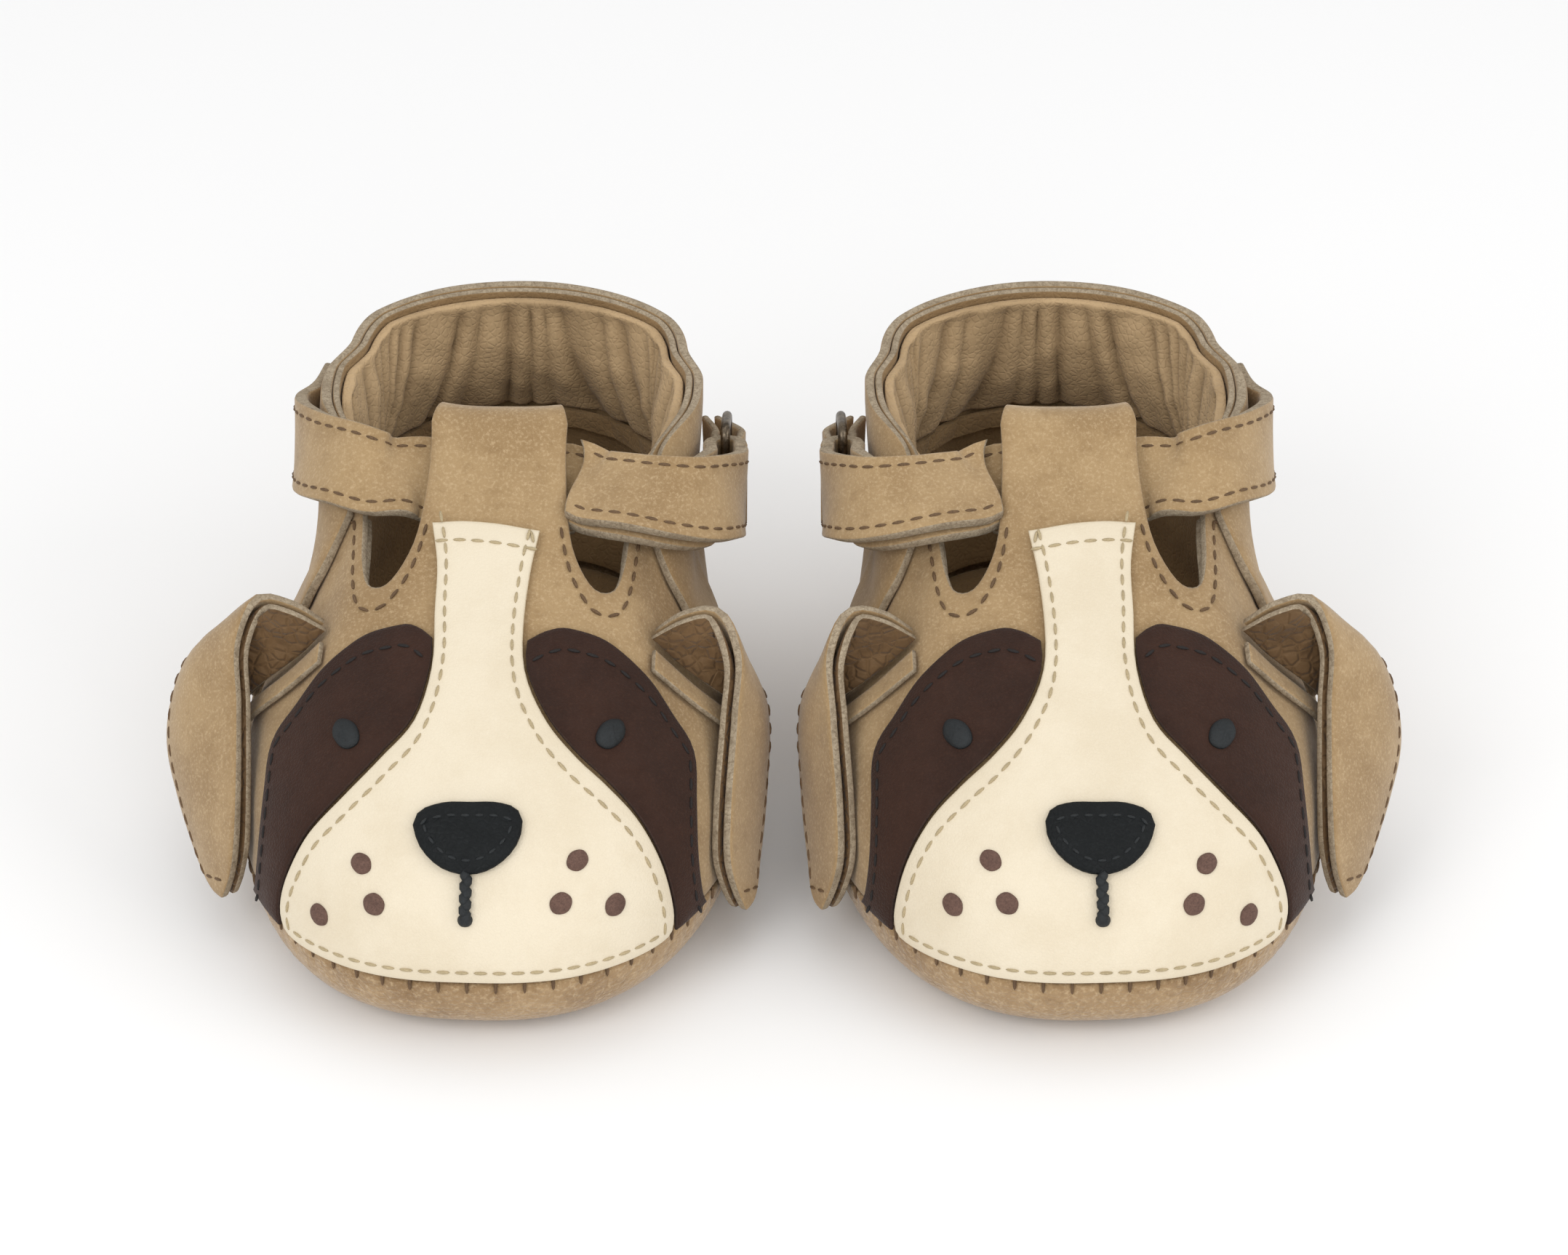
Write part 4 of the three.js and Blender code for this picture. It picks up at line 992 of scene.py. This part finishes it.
class BOOTIES_OT_collar(bpy.types.Operator):
    """Make the padded, pleated collar inside the heel"""

    bl_idname = "booties.collar"
    bl_label = "Collar"

    def execute(self, context):
        depth = context.scene.booties.pleat * 1000
        read = between(COLLAR_LOW, COLLAR_TOP)

        def creases(u, up):
            wander = u * 0.72 + 1.1 * np.sin(u * 0.23) + 0.7 * np.sin(u * 0.51 + up * 1.6)
            reach = (1 - smooth(0.82, 1.0, up)) * (0.5 + 0.5 * np.sin(u * 0.29 + 1) ** 2)
            return reach * (1 - np.abs(np.sin(wander)) ** 0.55)

        def laid(u, v, w):
            share, up = np.clip(u / COLLAR_LENGTH + 0.5, 0, 1), np.clip(v / COLLAR_HEIGHT, 0, 1)
            degrees, z = read(share, up)
            outer = collar_outer(degrees)
            swell = 0.35 + 0.65 * np.sin(math.pi * np.clip((z - 33) / COLLAR_HEIGHT, 0, 1))
            thick = COLLAR_PAD * swell - depth * creases(u, up)
            thick = thick + 0.18 * ripple(last_point(degrees, z), 9, 0.8)
            return on_last(degrees, z, outer + 0.25 - np.maximum(thick + 0.25, 0.5) * (1 - w / COLLAR_PAD))

        bm = strip_of(COLLAR_LENGTH, COLLAR_HEIGHT, COLLAR_PAD, cell=0.62, rounding=0.5)
        flat = bend(bm, laid)
        inner_face = flat[:, 2] < COLLAR_PAD / 2
        # Painted shade: the creases of the collar's inner face are darkened towards the lining's shade
        # colour, and this mask goes on as the collar's rim attribute.
        dark = np.clip(creases(flat[:, 0], flat[:, 1] / COLLAR_HEIGHT) * 1.5, 0, 1) ** 0.4 * inner_face
        for face in bm.faces:
            face.material_index = 0
        pads = both_sides("collar_padding", bm, ["pleated_lining"],
                          nodes=["collar"], rim=dark)
        return {"FINISHED"}


def band(name, line, width, thickness, finishes, nodes, start=0.0, end=1.0, lift=None, body="bootie",
         skew=0.0):
    """Leather laid flat along part of a line, lifted off it; skew slants its first end."""
    length = line.length * (end - start)

    def laid(u, v, w):
        share = start + (end - start) * (v - skew * u * (1 - smooth(0, 14, v))) / length
        centre, _, side, out = line.at(share)
        off = w - thickness / 2 + (lift(share) if lift else 0)
        return centre + side * u[:, None] + out * np.asarray(off)[:, None]

    bm = strip_of(width, length, thickness, cell=0.8, rounding=min(0.35, thickness / 3))
    bend(bm, laid)
    return both_sides(name, bm, finishes, body=body, nodes=nodes)


def rows_on_band(bm, line, width, start, end, lift, how, skew=0.0):
    """Two rows of stitches along a band's outer face, one near each edge."""
    for across in (-1, 1):
        inset = across * (width / 2 - 1.5)
        share = np.linspace(start - skew * inset / line.length, end, 160)
        centre, _, side, out = line.at(share)
        off = (lift(share) if callable(lift) else np.full(len(share), lift))[:, None]
        points = centre + side * inset + out * off
        stitch_row(bm, points, out, **how)


class BOOTIES_OT_straps(bpy.types.Operator):
    """Make the instep straps with their turned ends and hook-and-loop patches"""

    bl_idname = "booties.straps"
    bl_label = "Straps"

    def execute(self, context):
        nubuck = ["nubuck", "raw_edge"]
        off = (STRAP_THICKNESS + PILE) / 2 + GAP
        start, end = (TAB_EDGE + (AT_BAR - TAB_EDGE) * share for share in (0.52, 0.86))
        how = thread_of(context)
        band("strap_leather", STRAP, STRAP_WIDTH, STRAP_THICKNESS, nubuck, ["strap"])
        band("strap_end_leather", STRAP, STRAP_WIDTH, STRAP_THICKNESS, nubuck,
             ["strap_tail"], TAIL_START, AT_BAR, tail_lift, "strap_end", TAIL_SKEW)
        band("loop_pile", STRAP, PILE_WIDTH, PILE, ["pile", "pile"], ["loop_patch"],
             start, end, lambda s: off)
        band("hook_pile", STRAP, PILE_WIDTH, PILE, ["pile", "pile"], ["hook_patch"],
             start, end, lambda s: tail_lift(s) - off, "strap_end")
        threads = bmesh.new()
        rows_on_band(threads, STRAP, STRAP_WIDTH, 0.012, TAIL_START - 0.01, STRAP_THICKNESS / 2, how)
        both_sides("strap_stitching", threads, ["tan_thread"])
        threads = bmesh.new()
        rows_on_band(threads, STRAP, STRAP_WIDTH, TAIL_START + 0.006, AT_BAR - 0.012,
                     lambda s: tail_lift(s) + STRAP_THICKNESS / 2, how, TAIL_SKEW)
        both_sides("strap_end_stitching", threads, ["tan_thread"], body="strap_end")
        return {"FINISHED"}


class BOOTIES_OT_rings(bpy.types.Operator):
    """Make the metal rings and the leather chapes that hold them"""

    bl_idname = "booties.rings"
    bl_label = "Rings"

    def execute(self, context):
        wide, high, bow = (RING_LENGTH - RING_WIRE) / 2, (RING_HEIGHT - RING_WIRE) / 2, 1.4
        corners = [(wide - bow, -high + bow, -90), (wide - bow, high - bow, 0),
                   (-wide + bow, high - bow, 90), (-wide + bow, -high + bow, 180)]
        path = np.array(rounded(corners, bow))
        path = spaced(np.concatenate([path, path[:1]]), 0.55)
        run = np.linspace(0, 1, len(path))
        tangent = unit(np.roll(path[:-1], -1, axis=0) - np.roll(path[:-1], 1, axis=0))
        tangent = np.concatenate([tangent, tangent[:1]])

        def laid(u, v):
            x, y = np.interp(v, run, path[:, 0]), np.interp(v, run, path[:, 1])
            tx, ty = np.interp(v, run, tangent[:, 0]), np.interp(v, run, tangent[:, 1])
            cos, sin = np.cos(u * 2 * math.pi) * RING_WIRE / 2, np.sin(u * 2 * math.pi) * RING_WIRE / 2
            return (RING_MIDDLE + RING_ALONG * (x + ty * cos)[:, None] + RING_UP * (y - tx * cos)[:, None]
                    + RING_OUT * sin[:, None])

        bm = wrap(14, len(path) - 1, laid)
        both_sides("ring_wire", bm, ["antique_metal"], nodes=["ring"])
        band("ring_chape_leather", CHAPE_LINE, CHAPE_WIDTH, CHAPE, ["nubuck", "raw_edge"],
             ["ring_chape"])
        return {"FINISHED"}


def ear_surface(rear_edge, bulge):
    """Point and outward normal of an ear's middle surface, by shares across and down."""
    def foot(u):
        return on_last(38 + 28 * u, 36.6 - 13.6 * u, np.full(np.shape(u), 0.8))

    ends = [foot(np.array([u]))[0] for u in (0.0, 1.0)]
    front, rear = (Line([(np.array(p, float), np.array((0, 0, 1.0))) for p in [end, *edge]])
                   for end, edge in zip(ends, (EAR_FRONT, rear_edge)))

    def surface(u, v):
        u1 = u[:, None]
        point = front.read(front.centre, v) * (1 - u1) + rear.read(rear.centre, v) * u1
        point = point + (foot(u) - ends[0] * (1 - u1) - ends[1] * u1) * ((1 - v) ** 4)[:, None]
        return point + np.stack([bulge * np.sin(math.pi * u) * np.sin(math.pi * v), 0 * u, 0 * u], axis=-1)

    def both(u, v):
        across = surface(u + 0.01, v) - surface(u - 0.01, v)
        down = surface(u, np.minimum(v + 0.01, 1)) - surface(u, np.maximum(v - 0.01, 0))
        return surface(u, v), unit(np.cross(down, across))
    return both


def ear_outline():
    """The ear in flat millimetres: square where it is sewn in, round at its two lower corners."""
    half, bow = EAR_WIDE / 2, 4.5
    lower = rounded([(half - bow, EAR_LONG - bow, 0), (-half + bow, EAR_LONG - bow, 90)], bow)
    points = [(-half, 0), (half, 0), *lower, (-half, 0)]
    return spaced(np.array(points, float), 0.9)[:-1]


class BOOTIES_OT_ears(bpy.types.Operator):
    """Make the floppy ears, their crumpled linings and the welts they are sewn in with"""

    bl_idname = "booties.ears"
    bl_label = "Ears"

    def execute(self, context):
        crumple = context.scene.booties.crumple * 1000
        polygon = ear_outline()
        shapes = (("outer", REAR_FREE, 1.6, True), ("inner", REAR_HELD, 0.5, False))
        for which, rear, bulge, flipped in shapes:
            both = ear_surface(rear, bulge)
            side = np.array((-1.0 if flipped else 1.0, 1.0, 1.0))
            layers = (("ear_leather", EAR_GAP, EAR_LEATHER, "nubuck", f"{which}_ear", 0.0, "upper_leather"),
                      ("ear_lining_leather", -EAR_GAP - EAR_LINING, EAR_LINING, "crumpled_lining",
                       f"{which}_ear_lining", crumple, "ear_lining_leather"))
            for name, low, thickness, finish, cad, rough, slot in layers:
                bm = cut_leather(polygon, thickness, cell=1.1)
                flat = np.array([v.co for v in bm.verts])
                rim = rim_distance(flat[:, :2], polygon)

                def laid(u, v, w):
                    point, normal = both(u / EAR_WIDE + 0.5, np.clip(v / EAR_LONG, 0, 1))
                    bumps = ripple(point, 7, 0.4) + 0.6 * ripple(point, 3.4, 1.9)
                    dent = rough * bumps * smooth(0, 3, rim)
                    worn = 0.1 * (1 - smooth(0, 0.8, rim))
                    off = low + w + dent * (1 - w / thickness) - worn * (w / thickness)
                    return (point + normal * off[:, None]) * side

                bend(bm, laid)
                both_sides(f"{which}_{name}", bm, [finish, "raw_edge"], body=f"{which}_ear_flap",
                           nodes=[cad], rim=near_edge(rim))
            self.sew(context, which, both, side)
        return {"FINISHED"}

    def sew(self, context, which, both, side):
        """Stitches set in from the ear's free edges, and the welt in front of its foot."""
        threads = bmesh.new()
        down = np.linspace(0.12, 0.93, 60)
        across = np.linspace(0.13, 0.87, 30)
        paths = [(across, np.full(30, 0.93)), (np.full(60, 0.87), down[::-1])]
        u, v = (np.concatenate([path[k] for path in paths]) for k in (0, 1))
        point, normal = both(u, v)
        outer = point + normal * (EAR_GAP + EAR_LEATHER)
        stitch_row(threads, outer * side, normal * side, **thread_of(context))
        both_sides(f"{which}_ear_stitching", threads, ["tan_thread"], body=f"{which}_ear_flap")

        def laid(u, v, w):
            degrees, z = 38 + 28 * v / 30, 36.6 - 13.6 * v / 30
            return on_last(degrees - 2.2 + 0.8 * u, z - 1.6 + 0.6 * u, GAP + w) * side

        bm = strip_of(2, 30, 0.9, cell=0.7, rounding=0.25)
        bend(bm, laid)
        both_sides(f"{which}_ear_welt_leather", bm, ["nubuck", "raw_edge"], nodes=[f"{which}_ear_welt"])


def spot_of(x, y, z):
    """Degrees round the last of a point at a height."""
    front, rear, *_ = section(np.array(float(z)))
    return math.degrees(math.atan2(x, (front + rear) / 2 - y))


def dome(bm, degrees, z, wide, high, low, height, ridges):
    """A close-sewn spot on the last, domed, with the threads running up and down."""
    _, around, up, _ = last_frame(degrees, z)
    made = bmesh.ops.create_uvsphere(bm, u_segments=28, v_segments=14, radius=1)["verts"]
    flat = np.array([v.co for v in made])
    ridge = 1 - 0.16 * np.abs(np.sin(flat[:, 0] * ridges)) * (flat[:, 2] > 0)
    off = low + np.where(flat[:, 2] > 0, flat[:, 2] * height * ridge, flat[:, 2] * 0.1)
    wobble = 1 + 0.015 * np.sin(5 * np.arctan2(flat[:, 1], flat[:, 0]) + degrees)
    points = on_last(degrees + flat[:, 0] * wobble * wide / np.linalg.norm(around),
                     z + flat[:, 1] * wobble * high / np.linalg.norm(up), off)
    for vert, point in zip(made, points):
        vert.co = point


def pillow(height, reach=0.8):
    """A panel that rounds down towards its edge."""
    return lambda degrees, v, rim: height * (smooth(0, reach, rim) - 1)


class BOOTIES_OT_faces(bpy.types.Operator):
    """Make the animal face: muzzle, eye patches, eyes, nose, mouth and whisker spots"""

    bl_idname = "booties.faces"
    bl_label = "Faces"

    def execute(self, context):
        panel("muzzle_leather", MUZZLE, GAP, FACE, ["cream_leather", "cream_edge"],
              ["muzzle"], TRIM, relief=pillow(0.15, 1.2))
        for name, runs in (("outer", OUTER_PATCH), ("inner", INNER_PATCH)):
            panel(f"{name}_eye_patch_leather", runs, GAP, FACE, ["brown_leather", "brown_edge"],
                  [f"{name}_eye_patch"], TRIM, relief=pillow(0.15, 1.2))
        panel("nose_leather", NOSE, FACE + 0.05, FACE + GAP + 1.2, ["black_leather", "black_leather"],
              ["nose"], 1.2, relief=pillow(0.55, 1.3), cell=0.8)
        for which, (degrees, z) in zip(("outer", "inner"), EYES):
            bm = bmesh.new()
            dome(bm, degrees, z, *EYE_HALVES, low=FACE + 0.05, height=1.1, ridges=12)
            both_sides(f"{which}_eye_thread", bm, ["black_thread"],
                       nodes=[f"{which}_eye"])
        bm = bmesh.new()
        for x, y, z in WHISKERS:
            dome(bm, spot_of(x, y, z), z, *SPOT_HALVES, low=FACE + 0.05, height=0.6, ridges=9)
        both_sides("whisker_spots", bm, ["dot_thread"])
        self.mouth()
        self.sew(context)
        return {"FINISHED"}

    def mouth(self):
        """A thick twisted thread from under the nose down to its knot."""
        bm = bmesh.new()
        heights = np.linspace(22.9, 19.2, 8)
        for i, z in enumerate(heights):
            point, around, up, normal = last_frame(0.0, z)
            lean = 0.32 if i % 2 else -0.32
            tangent = unit(unit(up) * math.cos(lean) + unit(around) * math.sin(lean))
            point = point + normal * (FACE + 0.5) + unit(around) * (0.14 if i % 2 else -0.14)
            add_stitch(bm, point, tangent, normal, 2.0, 0.72)
        dome(bm, 0.0, 18.9, 0.95, 0.8, FACE, 1.1, 6)
        both_sides("mouth_thread", bm, ["black_thread"], nodes=["mouth"])

    def sew(self, context):
        """Stitches just inside the edges of the muzzle and nose, along the eye patches' upper and back
        edges, and along the upper's own edges.
        """
        how = thread_of(context)
        cream, brown, black, tan = (bmesh.new() for _ in range(4))
        top = FACE + 0.02
        row_on_last(cream, outline(MUZZLE), top, **how)
        for runs, inset in ((OUTER_PATCH, 1.5), (INNER_PATCH, -1.5)):
            row_on_last(brown, edge_of(runs[0], runs[1][0]), top, inset=inset, **how)
        row_on_last(black, outline(NOSE, 0.4), FACE + GAP + 1.1, inset=-1.1, pitch=1.7, length=1.2,
                    radius=how["radius"] * 0.9)
        for run in ([WING_TIP, *CUT_OUT[:-1]], [at_seam(82), *VAMP_BACK, WING_TIP]):
            line = smooth_line(run)
            row_on_last(tan, line, 0.02, inset=1.7, **how)
            row_on_last(tan, line * (-1, 1), 0.02, inset=-1.7, **how)
        for bm, name, finish in ((cream, "muzzle", "cream_thread"), (brown, "patch", "brown_thread"),
                                 (black, "nose", "black_thread"), (tan, "vamp", "tan_thread")):
            both_sides(f"{name}_stitching", bm, [finish])


# ---------- stage ----------
LENS = 103.2
IMAGE_WIDTH = 2156
LENS_SHIFT = 25 / IMAGE_WIDTH
# Name, place, size, power.
LIGHTS = (
    ("over_light", (0.0, 0.05, 0.75), 0.7, 0.6),
    ("key_light", (-0.45, -0.55, 0.6), 0.5, 1.7),
    ("front_light", (0.1, -0.8, 0.4), 0.5, 1.1),
    ("fill_light", (0.6, -0.3, 0.45), 0.5, 1.1),
)


def soft_light(name, place, target, size, power):
    light = bpy.data.lights.new(name, "AREA")
    light.shape = "DISK"
    light.size = size
    light.energy = power
    lamp = bpy.data.objects.new(name, light)
    lamp.location = place
    lamp.rotation_euler = (Vector(target) - Vector(place)).to_track_quat("-Z", "Y").to_euler()
    bpy.context.scene.collection.objects.link(lamp)


class BOOTIES_OT_stage(bpy.types.Operator):
    """Make the floor, the soft studio light and the camera"""

    bl_idname = "booties.stage"
    bl_label = "Stage"

    def execute(self, context):
        studio = context.scene.booties_studio
        bm = bmesh.new()
        bmesh.ops.create_circle(bm, cap_ends=True, segments=96, radius=3)
        bmesh.ops.translate(bm, verts=bm.verts, vec=(0, 0, -0.0001))
        mesh = bpy.data.meshes.new("floor")
        bm.to_mesh(mesh)
        bm.free()
        floor = bpy.data.objects.new("floor", mesh)
        context.scene.collection.objects.link(floor)
        paint = bpy.data.materials.new("floor_paint")
        paint.use_nodes = True
        shader = paint.node_tree.nodes["Principled BSDF"]
        shader.inputs["Base Color"].default_value = (*studio.floor, 1)
        shader.inputs["Roughness"].default_value = 0.9
        mesh.materials.append(paint)

        world = bpy.data.worlds.new("studio")
        world.use_nodes = True
        world.node_tree.nodes["Background"].inputs["Color"].default_value = (1, 1, 1, 1)
        world.node_tree.nodes["Background"].inputs["Strength"].default_value = 0.8
        context.scene.world = world
        context.scene.view_settings.view_transform = "Standard"
        target = Vector((0, BOX_SHIFT * 0.001, 0.025))
        for name, place, size, power in LIGHTS:
            soft_light(name, place, target, size, power)

        lens = bpy.data.cameras.new("view")
        lens.sensor_width = 36
        lens.lens = LENS
        lens.shift_y = LENS_SHIFT
        lens.clip_start = 0.01
        camera = bpy.data.objects.new("view", lens)
        away = Vector((0, -math.cos(studio.elevation), math.sin(studio.elevation)))
        camera.location = target + away * studio.distance
        camera.rotation_euler = (-away).to_track_quat("-Z", "Y").to_euler()
        context.scene.collection.objects.link(camera)
        context.scene.camera = camera
        return {"FINISHED"}


# ---------- add-on ----------
PIECES = (BOOTIES_OT_soles, BOOTIES_OT_uppers, BOOTIES_OT_collar, BOOTIES_OT_straps, BOOTIES_OT_rings,
          BOOTIES_OT_ears, BOOTIES_OT_faces, BOOTIES_OT_stage)


class BOOTIES_PT_panel(bpy.types.Panel):
    """The pair's sizes, its pieces and the stage"""

    bl_label = "Baby Booties"
    bl_space_type = "VIEW_3D"
    bl_region_type = "UI"
    bl_category = "Booties"

    def draw(self, context):
        for settings in (context.scene.booties, context.scene.booties_studio):
            for name in settings.bl_rna.properties.keys():
                if name not in ("rna_type", "name"):
                    self.layout.prop(settings, name)
        for piece in PIECES:
            self.layout.operator(piece.bl_idname)


def register():
    for made in (BootieSizes, StudioSettings, *PIECES, BOOTIES_PT_panel):
        bpy.utils.register_class(made)
    bpy.types.Scene.booties = bpy.props.PointerProperty(type=BootieSizes)
    bpy.types.Scene.booties_studio = bpy.props.PointerProperty(type=StudioSettings)


def unregister():
    del bpy.types.Scene.booties
    del bpy.types.Scene.booties_studio
    for made in (BOOTIES_PT_panel, *reversed(PIECES), StudioSettings, BootieSizes):
        bpy.utils.unregister_class(made)


def main():
    register()
    for piece in PIECES:
        group, name = piece.bl_idname.split(".")
        getattr(getattr(bpy.ops, group), name)()
    bpy.context.view_layer.update()


if __name__ == "__main__":
    main()
